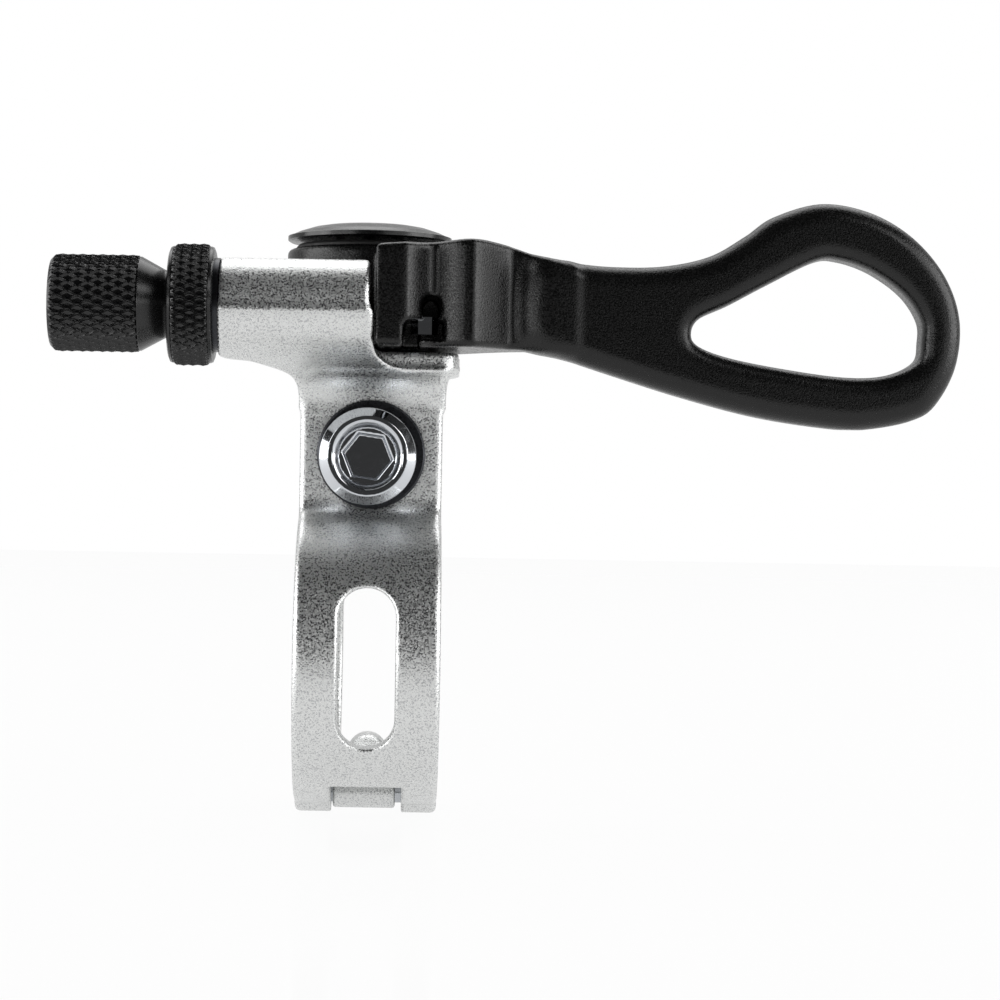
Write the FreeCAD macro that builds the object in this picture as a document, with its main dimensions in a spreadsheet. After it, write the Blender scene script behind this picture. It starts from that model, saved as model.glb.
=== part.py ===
import FreeCAD, Part
import math
import os
import re
import Sketcher

# Dropper post remote lever: a thumb lever on a handlebar clamp, with a barrel adjuster.
# Frame: X along the handlebar towards the thumb loop, -Y towards the rider, Z up.
# The origin is the middle of the handlebar bore. All lengths are millimetres.

os.makedirs("parts", exist_ok=True)
doc = FreeCAD.newDocument("dropper_remote_lever")
sheet = doc.addObject("Spreadsheet::Sheet", "Sizes")

SIZES = [
    # Handlebar clamp
    ("bar_radius", 11.1, "radius of the handlebar that the clamp holds"),
    ("clamp_width", 14.1, "width of both clamp halves along the bar"),
    ("clamp_wall", 3.5, "wall of the ring round the bar"),
    ("split_face", 2.9, "Y of the front half's split face"),
    ("split_gap", 1.2, "gap between the two halves"),
    ("pad_depth", 5.9, "depth of the bolt pad in front of the split face"),
    ("ear_depth", 4.5, "depth of the tapped ear"),
    ("ear_radius", 4.6, "round top of the tapped ear"),
    ("slot_width", 5.9, "width of the slot in the front half"),
    ("slot_length", 15.95, "length of the slot in the front half"),
    ("slot_top", 7.55, "Z of the top of the slot and of the strap's window"),
    ("window_drop", 1.45, "how much further down the strap's window goes"),
    ("tab_rise", 1.45, "height of the round tab at the foot of the strap's window"),
    ("tab_width", 4.0, "width of that tab"),
    ("edge_round", 0.5, "rounding of the ring's edges"),
    # Hinge under the bar
    ("hinge_offset", 2.4, "distance of the hinge pin from the bar's surface"),
    ("pin_diameter", 2.0, "hinge pin"),
    ("pin_clearance", 0.04, "radial running clearance on the pin"),
    ("knuckle_radius", 1.95, "outer knuckles"),
    ("mid_knuckle_radius", 1.55, "middle knuckle"),
    ("mid_knuckle_width", 6.6, "width of the middle knuckle"),
    ("knuckle_gap_left", 0.25, "gap at the left of the middle knuckle"),
    ("knuckle_gap_right", 0.5, "gap at the right of the middle knuckle"),
    ("knuckle_gap_depth", 15.8, "front to back length of the gap round the middle knuckle"),
    ("knuckle_room", 0.35, "gap above the middle knuckle"),
    # Clamp bolt and its washer
    ("bolt_shift", -0.3, "X of the bolt"),
    ("seat_rise", 5.6, "height of the washer's centre above the ring"),
    ("bolt_drop", 0.25, "how far the bolt sits below the washer's centre"),
    ("bolt_diameter", 6.0, "clamp bolt thread"),
    ("thread_clearance", 0.06, "radial clearance of a thread in its tapped hole"),
    ("bolt_hole_clearance", 0.6, "radial clearance of the bolt in the pad"),
    ("ear_hole_clearance", 0.46, "radial room that lets the ear swing off the bolt"),
    ("bolt_end", 0.6, "how far the bolt stands out behind the ear"),
    ("head_diameter", 9.6, "bolt head"),
    ("head_height", 4.0, "bolt head"),
    ("head_bevel", 0.9, "bevel of the bolt head"),
    ("socket_width", 5.0, "hexagon socket across its flats"),
    ("socket_depth", 2.8, "hexagon socket"),
    ("socket_mouth", 0.55, "chamfer round the socket's mouth"),
    ("washer_diameter", 10.7, "washer under the bolt head"),
    ("washer_thickness", 0.8, "washer under the bolt head"),
    # Cable tube, adjuster and lock nut
    ("cable_rise", 4.18, "height of the cable above the pivot plate"),
    ("cable_front", 6.0, "how far the cable runs in front of the bar's centre"),
    ("tube_radius", 4.65, "cable tube"),
    ("tube_start", 14.95, "left end of the tube, left of the clamp's centre"),
    ("tube_end", 0.35, "right end of the tube, left of the clamp's centre"),
    ("tube_edge", 0.45, "rounding of the tube's left end"),
    ("cable_bore", 2.4, "hole for the bare cable"),
    ("lock_washer_radius", 4.6, "thin ring between the nut and the tube"),
    ("lock_washer_thickness", 0.5, "thin ring between the nut and the tube"),
    ("nut_radius", 6.03, "lock nut"),
    ("nut_width", 4.4, "lock nut"),
    ("nut_bevel", 0.75, "bevel at both ends of the lock nut"),
    ("adjuster_radius", 4.78, "knurled barrel of the adjuster"),
    ("adjuster_length", 8.55, "knurled barrel of the adjuster"),
    ("adjuster_bevel", 0.5, "bevel at the left end of the adjuster"),
    ("cone_length", 3.0, "smooth cone of the adjuster"),
    ("cone_rim", 0.35, "straight rim at the small end of the cone"),
    ("cone_radius", 3.3, "small end of the cone"),
    ("adjuster_thread", 5.0, "thread of the adjuster"),
    ("adjuster_shank", 11.0, "length of the adjuster's thread"),
    ("housing_seat", 5.2, "bore that takes the cable housing"),
    ("housing_seat_depth", 7.5, "bore that takes the cable housing"),
    # Pivot plate and pivot
    ("plate_rise", 13.8, "height of the plate's underside above the ring"),
    ("plate_thickness", 1.9, "pivot plate"),
    ("plate_radius", 9.35, "pivot plate"),
    ("web_width", 1.3, "web between the plate and the pad's right side"),
    ("web_height", 2.9, "web between the plate and the pad's right side"),
    ("pivot_shift", -0.6, "X of the pivot"),
    ("pivot_back", 7.4, "how far the pivot is behind the bar's centre"),
    ("boss_radius", 3.9, "boss under the plate"),
    ("boss_depth", 3.2, "boss under the plate"),
    ("pivot_thread", 4.0, "thread at the foot of the pivot bolt"),
    ("pivot_shank", 5.0, "shank that carries the bearings"),
    # Lever
    ("lever_gap", 0.4, "clearance between the plate and the lever"),
    ("lever_height", 10.55, "height of the lever's hub and block"),
    ("hub_radius", 8.4, "hub of the lever"),
    ("edge_fillet", 0.6, "rounding of the hub and block's edges"),
    ("horn_gap", 0.85, "gap between the tube's end and the lever"),
    ("horn_front", 9.8, "how far the anchor block's horn stands in front of the bar's centre"),
    ("horn_width", 3.1, "width of the horn's flat front"),
    ("flute_front", 5.9, "bottom of the first flute, in front of the bar's centre"),
    ("crest_front", 7.6, "crest between the flutes, in front of the bar's centre"),
    ("crest_start", 8.75, "X of the crest's left edge"),
    ("crest_end", 10.8, "X of the crest's right edge"),
    ("dip_front", 5.1, "bottom of the second flute, in front of the bar's centre"),
    ("dip_start", 12.9, "X of the left edge of the second flute's bottom"),
    ("dip_end", 15.9, "X of the right edge of the second flute's bottom"),
    ("neck_start", 18.6, "X where the neck starts"),
    ("neck_rise", 8.75, "height of the neck's top edge above the pivot plate"),
    ("neck_width", 9.35, "height of the neck at its start"),
    ("paddle_front", 6.1, "front face of the neck and loop"),
    ("paddle_thickness", 5.2, "thickness of the neck and loop"),
    ("loop_centre_x", 45.6, "centre of the loop's round end"),
    ("loop_offset", 5.55, "centre of the loop's round end below the neck's top edge"),
    ("loop_radius", 12.1, "outside of the loop's round end"),
    ("loop_drop", 10.05, "lowest edge of the loop below its centre"),
    ("arm_width", 5.1, "width of the loop's arms"),
    ("tip_width", 3.86, "width of the loop at its right end"),
    ("hole_start", 31.25, "X of the left end of the thumb hole"),
    ("arm_round", 1.7, "rounding of the loop's section"),
    # Cable anchor
    ("anchor_shift", 5.6, "X of the cable clamp screw"),
    ("anchor_hole", 2.7, "hole where the cable leaves the block"),
    ("clamp_head_width", 2.3, "hexagonal head across its flats"),
    ("clamp_head_height", 1.7, "hexagonal head of the clamp screw"),
    ("clamp_thread", 2.0, "thread of the clamp screw"),
    ("notch_height", 2.9, "height of the notch round the screw's head"),
    ("notch_width", 4.4, "width of the notch round the screw's head"),
    # Bearings and what is stacked with them
    ("bearing_outside", 10.0, "outer diameter of a bearing"),
    ("bearing_width", 3.6, "width of a bearing"),
    ("race_wall", 0.65, "thickness of each race"),
    ("ball_diameter", 1.5, "bearing ball"),
    ("ball_count", 9, "balls in each bearing"),
    ("ball_play", 0.03, "clearance round a ball"),
    ("groove_depth", 0.22, "depth of a race's ball groove"),
    ("fit_play", 0.03, "radial clearance of a running or sliding fit"),
    ("lip_width", 0.8, "lip that holds the lower bearing"),
    ("spacer_height", 1.0, "spacers between the bearings"),
    ("thrust_height", 1.25, "washer between the plate and the inner race"),
    ("washer_wall", 0.75, "wall of the inner spacer and thrust washer"),
    # Return spring
    ("wire_diameter", 0.7, "spring wire"),
    ("coil_radius", 6.75, "mean radius of the spring"),
    ("coil_turns", 3.25, "turns of the spring"),
    ("coil_pitch", 0.82, "rise of one turn"),
    ("spring_room", 0.3, "clearance round the spring in its pocket"),
    # Cap
    ("cap_gap", 0.8, "gap between the hub and the cap's rim"),
    ("cap_radius", 8.4, "pivot cap"),
    ("cap_rim", 0.65, "height of the cap's rim"),
    ("cap_rise", 1.0, "height of the dome over the rim"),
    ("cap_flat", 5.2, "radius of the dome's flat top"),
    ("cap_boss", 3.5, "radius of the cap's boss on the inner race"),
    ("sunk_head", 7.4, "countersunk head of the pivot bolt"),
    ("sunk_socket", 3.0, "hexagon socket of the pivot bolt"),
    ("seal_radius", 7.5, "outside of the dust seal"),
    ("seal_width", 1.3, "width of the dust seal"),
]

for row, (alias, value, note) in enumerate(SIZES, start=1):
    sheet.set("A%d" % row, note)
    sheet.set("B%d" % row, str(value))
    sheet.setAlias("B%d" % row, alias)
doc.recompute()

ALIASES = {alias for alias, value, note in SIZES}

# Heights that follow from the sheet, so that what stands on the ring moves with it
PLACES = {
    "hinge_drop": "bar_radius + hinge_offset",
    "seat_height": "bar_radius + clamp_wall + seat_rise",
    "bolt_height": "seat_height - bolt_drop",
    "plate_bottom": "bar_radius + clamp_wall + plate_rise",
    "cable_height": "plate_bottom + plate_thickness + cable_rise",
    "neck_top": "plate_bottom + plate_thickness + neck_rise",
    "neck_bottom": "neck_top - neck_width",
    "loop_centre_z": "neck_top - loop_offset",
}


def bound(text):
    """Turn an expression written with plain names into one that names the sheet."""
    def spelled(match):
        word = match.group(0)
        if word in PLACES:
            return "(%s)" % bound(PLACES[word])
        return "Sizes." + word if word in ALIASES else word
    return re.sub(r"[a-z_]+", spelled, text)


def size(text):
    """The present value of an expression."""
    return float(sheet.evalExpression(bound(text)))


def bind(thing, prop, text):
    thing.setExpression(prop, bound(text))


def new_body(name):
    body = doc.addObject("PartDesign::Body", name)
    body.Label = name
    return body


def new_sketch(body, name, role, offset="0"):
    """A sketch on one of the body's own origin planes, moved along its normal."""
    sketch = body.newObject("Sketcher::SketchObject", name)
    plane = [item for item in body.Origin.OriginFeatures if item.Role == role][0]
    sketch.AttachmentSupport = [(plane, "")]
    sketch.MapMode = "FlatFace"
    if offset != "0":
        bind(sketch, "AttachmentOffset.Base.z", offset)
    return sketch


def fix_point(sketch, geo, pos, axis, text):
    """Hold one coordinate of a point at an expression, or on the axis where it is zero."""
    if text == "0":
        line = -2 if axis == "X" else -1
        sketch.addConstraint(Sketcher.Constraint("PointOnObject", geo, pos, line))
        return
    kind = "DistanceX" if axis == "X" else "DistanceY"
    index = sketch.addConstraint(Sketcher.Constraint(kind, -1, 1, geo, pos, size(text)))
    bind(sketch, "Constraints[%d]" % index, text)


def circle(sketch, across, up, radius):
    centre = FreeCAD.Vector(size(across), size(up), 0)
    geo = sketch.addGeometry(Part.Circle(centre, FreeCAD.Vector(0, 0, 1), size(radius)), False)
    index = sketch.addConstraint(Sketcher.Constraint("Radius", geo, size(radius)))
    bind(sketch, "Constraints[%d]" % index, radius)
    fix_point(sketch, geo, 3, "X", across)
    fix_point(sketch, geo, 3, "Y", up)
    return geo


def polygon(sketch, points):
    """A closed outline of straight lines whose corners are bound to expressions."""
    places = [FreeCAD.Vector(size(a), size(b), 0) for a, b in points]
    geos = []
    for index, place in enumerate(places):
        geos.append(sketch.addGeometry(Part.LineSegment(place, places[(index + 1) % len(places)]), False))
    for index, geo in enumerate(geos):
        following = geos[(index + 1) % len(geos)]
        sketch.addConstraint(Sketcher.Constraint("Coincident", geo, 2, following, 1))
    for geo, (across, up) in zip(geos, points):
        fix_point(sketch, geo, 1, "X", across)
        fix_point(sketch, geo, 1, "Y", up)
    return geos


def rectangle(sketch, left, right, low, high):
    return polygon(sketch, [(left, low), (right, low), (right, high), (left, high)])


def curve(sketch, points):
    """A closed smooth outline through points worked out from the sheet."""
    spline = Part.BSplineCurve()
    spline.interpolate([FreeCAD.Vector(a, b, 0) for a, b in points], PeriodicFlag=True)
    return sketch.addGeometry(spline, False)


def open_curve(sketch, points):
    """A smooth open line through points worked out from the sheet."""
    spline = Part.BSplineCurve()
    spline.interpolate([FreeCAD.Vector(a, b, 0) for a, b in points])
    return sketch.addGeometry(spline, False)


def straight_lines(sketch, points):
    for start, end in zip(points, points[1:]):
        sketch.addGeometry(Part.LineSegment(
            FreeCAD.Vector(start[0], start[1], 0), FreeCAD.Vector(end[0], end[1], 0)), False)


def slot(sketch, width, low, high):
    """An upright slot with round ends, its long axis on the sketch's own upright axis."""
    half = size(width) / 2
    bottom = size(low) + half
    top = size(high) - half
    across = FreeCAD.Vector(0, 0, 1)
    geos = [
        sketch.addGeometry(Part.ArcOfCircle(
            Part.Circle(FreeCAD.Vector(0, top, 0), across, half), 0, math.pi), False),
        sketch.addGeometry(Part.LineSegment(
            FreeCAD.Vector(-half, top, 0), FreeCAD.Vector(-half, bottom, 0)), False),
        sketch.addGeometry(Part.ArcOfCircle(
            Part.Circle(FreeCAD.Vector(0, bottom, 0), across, half), math.pi, 2 * math.pi), False),
        sketch.addGeometry(Part.LineSegment(
            FreeCAD.Vector(half, bottom, 0), FreeCAD.Vector(half, top, 0)), False),
    ]
    joins = [(0, 2, 1, 1), (1, 2, 2, 1), (2, 2, 3, 1), (3, 2, 0, 1)]
    for first, first_end, second, second_end in joins:
        sketch.addConstraint(Sketcher.Constraint(
            "Tangent", geos[first], first_end, geos[second], second_end))
    index = sketch.addConstraint(Sketcher.Constraint("Radius", geos[0], half))
    bind(sketch, "Constraints[%d]" % index, "%s / 2" % width)
    fix_point(sketch, geos[0], 3, "X", "0")
    fix_point(sketch, geos[0], 3, "Y", "%s - %s / 2" % (high, width))
    fix_point(sketch, geos[2], 3, "X", "0")
    fix_point(sketch, geos[2], 3, "Y", "%s + %s / 2" % (low, width))
    return geos


def hexagon(sketch, across, up, width, turn=0):
    corner = size(width) / math.sqrt(3)
    corners = []
    for step in range(6):
        angle = math.radians(turn + 60 * step)
        corners.append(FreeCAD.Vector(size(across) + corner * math.cos(angle),
                                      size(up) + corner * math.sin(angle), 0))
    for step in range(6):
        sketch.addGeometry(Part.LineSegment(corners[step], corners[(step + 1) % 6]), False)


def pad(body, name, sketch, length, midplane=False, back=False):
    feature = body.newObject("PartDesign::Pad", name)
    feature.Profile = sketch
    bind(feature, "Length", length)
    feature.Midplane = midplane
    feature.Reversed = back
    return feature


def pocket(body, name, sketch, length, midplane=False, back=False):
    """Cut a sketch into the body, and make sure that it really removed something."""
    doc.recompute()
    before = body.Shape.Volume
    feature = body.newObject("PartDesign::Pocket", name)
    feature.Profile = sketch
    bind(feature, "Length", length)
    feature.Midplane = midplane
    feature.Reversed = back
    doc.recompute()
    if not body.Shape.Volume < before:
        raise RuntimeError("%s removed nothing" % name)
    return feature


def turned(body, name, sketch, axis, cut=False):
    """Revolve a sketch by a full turn about one of its own axes."""
    kind = "PartDesign::Groove" if cut else "PartDesign::Revolution"
    feature = body.newObject(kind, name)
    feature.Profile = sketch
    feature.ReferenceAxis = (sketch, [axis])
    feature.Angle = 360
    return feature


def turned_piece(name, profile, place, upright):
    """A turned part: its half section is revolved about its own axis, then set in place.

    The profile lists (distance from the axis, distance along it). An upright part turns
    about Z. One that lies along the bar turns about X.
    """
    body = new_body(name)
    sketch = new_sketch(body, name + "_section", "XZ_Plane")
    if upright:
        polygon(sketch, profile)
        turned(body, name + "_turning", sketch, "V_Axis")
    else:
        polygon(sketch, [(along, out) for out, along in profile])
        turned(body, name + "_turning", sketch, "H_Axis")
    for key, text in zip("xyz", place):
        if text != "0":
            bind(body, "Placement.Base." + key, text)
    doc.recompute()
    return body


def ring_profile(inner, outer, low, high):
    return [(inner, low), (outer, low), (outer, high), (inner, high)]


def fillet(body, name, radius, wanted):
    """Round every edge of the body that the test accepts."""
    doc.recompute()
    tip = body.Tip
    names = []
    for index, edge in enumerate(tip.Shape.Edges, start=1):
        if wanted(edge):
            names.append("Edge%d" % index)
    if not names:
        raise RuntimeError("%s found no edge" % name)
    feature = body.newObject("PartDesign::Fillet", name)
    feature.Base = (tip, names)
    bind(feature, "Radius", radius)
    doc.recompute()
    if "Invalid" in feature.State:
        raise RuntimeError("%s failed on %d edges" % (name, len(names)))
    return feature


def near(value, target, room=0.01):
    return abs(value - target) < room


# Places that several pieces share
CLAMP_OUTER = "(bar_radius + clamp_wall)"
PAD_FRONT = "(split_face - pad_depth)"
STRAP_FACE = "(split_face + split_gap)"
PLATE_TOP = "(plate_bottom + plate_thickness)"
LEVER_LOW = "(%s + lever_gap)" % PLATE_TOP
LEVER_TOP = "(%s + lever_height)" % LEVER_LOW
PAD_FOOT = "(bar_radius + 0.4 * clamp_wall)"
NUT_LEFT = "(0 - tube_start - lock_washer_thickness - nut_width)"
PIVOT = ("pivot_shift", "pivot_back")
LOWER_BEARING = "(%s + thrust_height)" % PLATE_TOP
UPPER_BEARING = "(%s + bearing_width + spacer_height)" % LOWER_BEARING
STACK_TOP = "(%s + bearing_width)" % UPPER_BEARING


def half_ring(body, name, face, front):
    """One half of the ring round the bar, as a thick arc extruded along the bar."""
    sketch = new_sketch(body, name + "_section", "YZ_Plane")
    inner = size("bar_radius")
    outer = size(CLAMP_OUTER)
    cut = size(face)
    side = -1 if front else 1
    normal = FreeCAD.Vector(0, 0, 1)

    def angle_at(radius, up):
        height = math.sqrt(radius * radius - cut * cut)
        return math.atan2(height if up else -height, cut)

    spans = {}
    for label, radius in (("outer", outer), ("inner", inner)):
        top = angle_at(radius, True)
        low = angle_at(radius, False)
        spans[label] = (top, low + 2 * math.pi) if side < 0 else (low, top)
    big = Part.ArcOfCircle(Part.Circle(FreeCAD.Vector(), normal, outer), *spans["outer"])
    small = Part.ArcOfCircle(Part.Circle(FreeCAD.Vector(), normal, inner), *spans["inner"])
    first = sketch.addGeometry(big, False)
    second = sketch.addGeometry(small, False)
    start_line = sketch.addGeometry(Part.LineSegment(big.StartPoint, small.StartPoint), False)
    end_line = sketch.addGeometry(Part.LineSegment(big.EndPoint, small.EndPoint), False)
    joins = [(first, 1, start_line, 1), (second, 1, start_line, 2),
             (first, 2, end_line, 1), (second, 2, end_line, 2)]
    for geo, end, line, line_end in joins:
        sketch.addConstraint(Sketcher.Constraint("Coincident", geo, end, line, line_end))
    for geo, text in ((first, CLAMP_OUTER), (second, "bar_radius")):
        sketch.addConstraint(Sketcher.Constraint("Coincident", geo, 3, -1, 1))
        index = sketch.addConstraint(Sketcher.Constraint("Radius", geo, size(text)))
        bind(sketch, "Constraints[%d]" % index, text)
        fix_point(sketch, geo, 1, "X", face)
        fix_point(sketch, geo, 2, "X", face)
    return pad(body, name, sketch, "clamp_width", midplane=True)


def outer_arc(edge):
    """Whether an edge is an outer arc at a side of the ring."""
    box = edge.BoundBox
    return (near(box.XMin, box.XMax) and edge.Curve.TypeId == "Part::GeomCircle"
            and near(edge.Curve.Radius, size(CLAMP_OUTER)))


def clear_bore(body, name):
    """Nothing of a clamp half's knuckles or foot reaches into the bar's bore."""
    sketch = new_sketch(body, name + "_outline", "YZ_Plane", "0")
    circle(sketch, "0", "0", "bar_radius")
    feature = body.newObject("PartDesign::Pocket", name)
    feature.Profile = sketch
    bind(feature, "Length", "clamp_width + 2")
    feature.Midplane = True
    doc.recompute()


def make_housing():
    """The silver casting: front clamp half, bolt pad, pivot plate and cable tube."""
    body = new_body("housing")
    half_ring(body, "front_ring", "split_face", True)
    fillet(body, "ring_round", "edge_round", outer_arc)

    sketch = new_sketch(body, "pad_outline", "XY_Plane", PAD_FOOT)
    polygon(sketch, [
        ("0 - clamp_width / 2", "split_face"),
        ("0 - clamp_width / 2", PAD_FRONT + " + edge_round"),
        ("0 - clamp_width / 2 + 0.3 * edge_round", PAD_FRONT + " + 0.3 * edge_round"),
        ("0 - clamp_width / 2 + edge_round", PAD_FRONT),
        ("clamp_width / 2 - edge_round", PAD_FRONT),
        ("clamp_width / 2 - 0.3 * edge_round", PAD_FRONT + " + 0.3 * edge_round"),
        ("clamp_width / 2", PAD_FRONT + " + edge_round"),
        ("clamp_width / 2", "split_face"),
    ])
    pad(body, "bolt_pad", sketch, "plate_bottom + 0.2 - " + PAD_FOOT)

    sketch = new_sketch(body, "knuckle_outline", "YZ_Plane")
    circle(sketch, "0", "0 - hinge_drop", "knuckle_radius")
    pad(body, "knuckles", sketch, "clamp_width", midplane=True)

    sketch = new_sketch(body, "plate_outline", "XY_Plane", "plate_bottom")
    circle(sketch, PIVOT[0], PIVOT[1], "plate_radius")
    pad(body, "pivot_plate", sketch, "plate_thickness")

    # The plate runs forward over the pad and under the tube
    sketch = new_sketch(body, "apron_outline", "XY_Plane", "plate_bottom")
    polygon(sketch, [
        ("0 - clamp_width / 2 - 0.8", PAD_FRONT),
        ("clamp_width / 2 + 0.6", PAD_FRONT),
        ("pivot_shift + plate_radius * 0.99", "pivot_back"),
        ("pivot_shift - plate_radius * 0.99", "pivot_back"),
    ])
    pad(body, "apron", sketch, "plate_thickness")

    # Curved web under the plate at the pad's right side
    sketch = new_sketch(body, "web_outline", "XZ_Plane", "0 - split_face")
    polygon(sketch, [
        ("clamp_width / 2 - 1", "plate_bottom + 0.2"),
        ("clamp_width / 2 - 1", "plate_bottom - web_height"),
        ("clamp_width / 2", "plate_bottom - web_height"),
        ("clamp_width / 2 + 0.1 * web_width", "plate_bottom - 0.75 * web_height"),
        ("clamp_width / 2 + 0.38 * web_width", "plate_bottom - 0.42 * web_height"),
        ("clamp_width / 2 + 0.8 * web_width", "plate_bottom - 0.18 * web_height"),
        ("clamp_width / 2 + web_width", "plate_bottom + 0.2"),
    ])
    pad(body, "right_web", sketch, "pad_depth - edge_round")

    sketch = new_sketch(body, "boss_outline", "XY_Plane", "plate_bottom - boss_depth")
    circle(sketch, PIVOT[0], PIVOT[1], "boss_radius")
    pad(body, "pivot_boss", sketch, "boss_depth + plate_thickness / 2")

    # Gusset that carries the tube: its underside sweeps from the tube's end to the pad
    sketch = new_sketch(body, "gusset_outline", "XZ_Plane", "hub_radius + lever_gap - pivot_back")
    polygon(sketch, [
        ("0 - tube_start + tube_edge + 0.1", "cable_height - tube_radius * 0.4"),
        ("0 - tube_start + tube_edge + 0.1", "cable_height - tube_radius + 0.1"),
        ("0 - tube_start * 0.84", "plate_bottom + 1.15"),
        ("0 - tube_start * 0.68", "plate_bottom + 0.45"),
        ("0 - clamp_width / 2 - 1.6", "plate_bottom - 0.3"),
        ("0 - clamp_width / 2 - 0.6", "plate_bottom - 1.0"),
        ("0 - clamp_width / 2 - 0.1", "plate_bottom - 1.9"),
        ("0 - clamp_width / 2", "plate_bottom - 2.8"),
        ("0 - clamp_width / 2 + 1.5", "plate_bottom - 0.2"),
        ("0 - tube_end + 2.2", "plate_bottom - 0.2"),
        ("0 - tube_end + 1.1", "plate_bottom + 0.5"),
        ("0 - tube_end + 0.3", "plate_bottom + 1.3"),
        ("0 - tube_end", "cable_height - tube_radius * 0.8"),
        ("0 - tube_end", "cable_height - tube_radius * 0.4"),
    ])
    pad(body, "gusset", sketch, "cable_front + tube_radius + pivot_back - hub_radius - lever_gap")
    sketch = new_sketch(body, "gusset_slope", "YZ_Plane", "0 - tube_start - 1")
    polygon(sketch, [
        ("0 - cable_front - tube_radius * 0.93", "cable_height - tube_radius * 0.37"),
        ("0 - cable_front - tube_radius * 0.62", "cable_height - tube_radius * 0.78"),
        (PAD_FRONT + " - 1.6", "plate_bottom + 0.5"),
        (PAD_FRONT + " - 0.5", "plate_bottom - 0.9"),
        (PAD_FRONT, "plate_bottom - 2.9"),
        ("0 - cable_front - tube_radius - 1", "plate_bottom - 2.9"),
        ("0 - cable_front - tube_radius - 1", "cable_height - tube_radius * 0.37"),
    ])
    pocket(body, "gusset_front", sketch, "tube_start + 6", back=True)

    sketch = new_sketch(body, "tube_outline", "YZ_Plane", "0 - tube_start")
    circle(sketch, "0 - cable_front", "cable_height", "tube_radius")
    pad(body, "cable_tube", sketch, "tube_start - tube_end")
    tube_left = size("0 - tube_start")

    def tube_rim(edge):
        box = edge.BoundBox
        return near(box.XMin, tube_left) and near(box.XMax, tube_left) and edge.Curve.TypeId == "Part::GeomCircle"
    fillet(body, "tube_round", "tube_edge", tube_rim)

    # Openings and holes
    sketch = new_sketch(body, "front_slot_outline", "XZ_Plane", "0")
    slot(sketch, "slot_width", "slot_top - slot_length", "slot_top")
    pocket(body, "front_slot", sketch, CLAMP_OUTER + " + 1", back=True)

    sketch = new_sketch(body, "bolt_hole_outline", "XZ_Plane", "0 - split_face - 1")
    circle(sketch, "0", "seat_height", "bolt_diameter / 2 + bolt_hole_clearance")
    pocket(body, "bolt_hole", sketch, "pad_depth + 2", back=True)

    sketch = new_sketch(body, "thread_outline", "YZ_Plane", "0 - tube_start - 1")
    circle(sketch, "0 - cable_front", "cable_height", "adjuster_thread / 2 + thread_clearance")
    pocket(body, "adjuster_hole", sketch, "adjuster_shank + 1", back=True)

    sketch = new_sketch(body, "cable_outline", "YZ_Plane", "0 - tube_start - 1")
    circle(sketch, "0 - cable_front", "cable_height", "cable_bore / 2")
    pocket(body, "cable_hole", sketch, "tube_start + 1", back=True)

    sketch = new_sketch(body, "pivot_hole_outline", "XY_Plane", PLATE_TOP + " + 1")
    circle(sketch, PIVOT[0], PIVOT[1], "pivot_thread / 2 + thread_clearance")
    pocket(body, "pivot_hole", sketch, "plate_thickness + boss_depth + 2")

    sketch = new_sketch(body, "spring_hole_outline", "XY_Plane", PLATE_TOP + " + 1")
    circle(sketch, "pivot_shift + coil_radius", "pivot_back", "wire_diameter / 2 + 0.1")
    pocket(body, "spring_hole", sketch, "plate_thickness + 2")

    sketch = new_sketch(body, "pin_outline", "YZ_Plane", "0")
    circle(sketch, "0", "0 - hinge_drop", "pin_diameter / 2")
    pocket(body, "pin_hole", sketch, "clamp_width + 2", midplane=True)

    sketch = new_sketch(body, "knuckle_gap_outline", "XZ_Plane", "0")
    rectangle(sketch,
              "0 - mid_knuckle_width / 2 - knuckle_gap_left",
              "mid_knuckle_width / 2 + knuckle_gap_right",
              "0 - hinge_drop - knuckle_radius - 1",
              "0 - hinge_drop + mid_knuckle_radius + knuckle_room")
    pocket(body, "knuckle_gap", sketch, "knuckle_gap_depth", midplane=True)
    clear_bore(body, "bar_bore")
    return body


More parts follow.
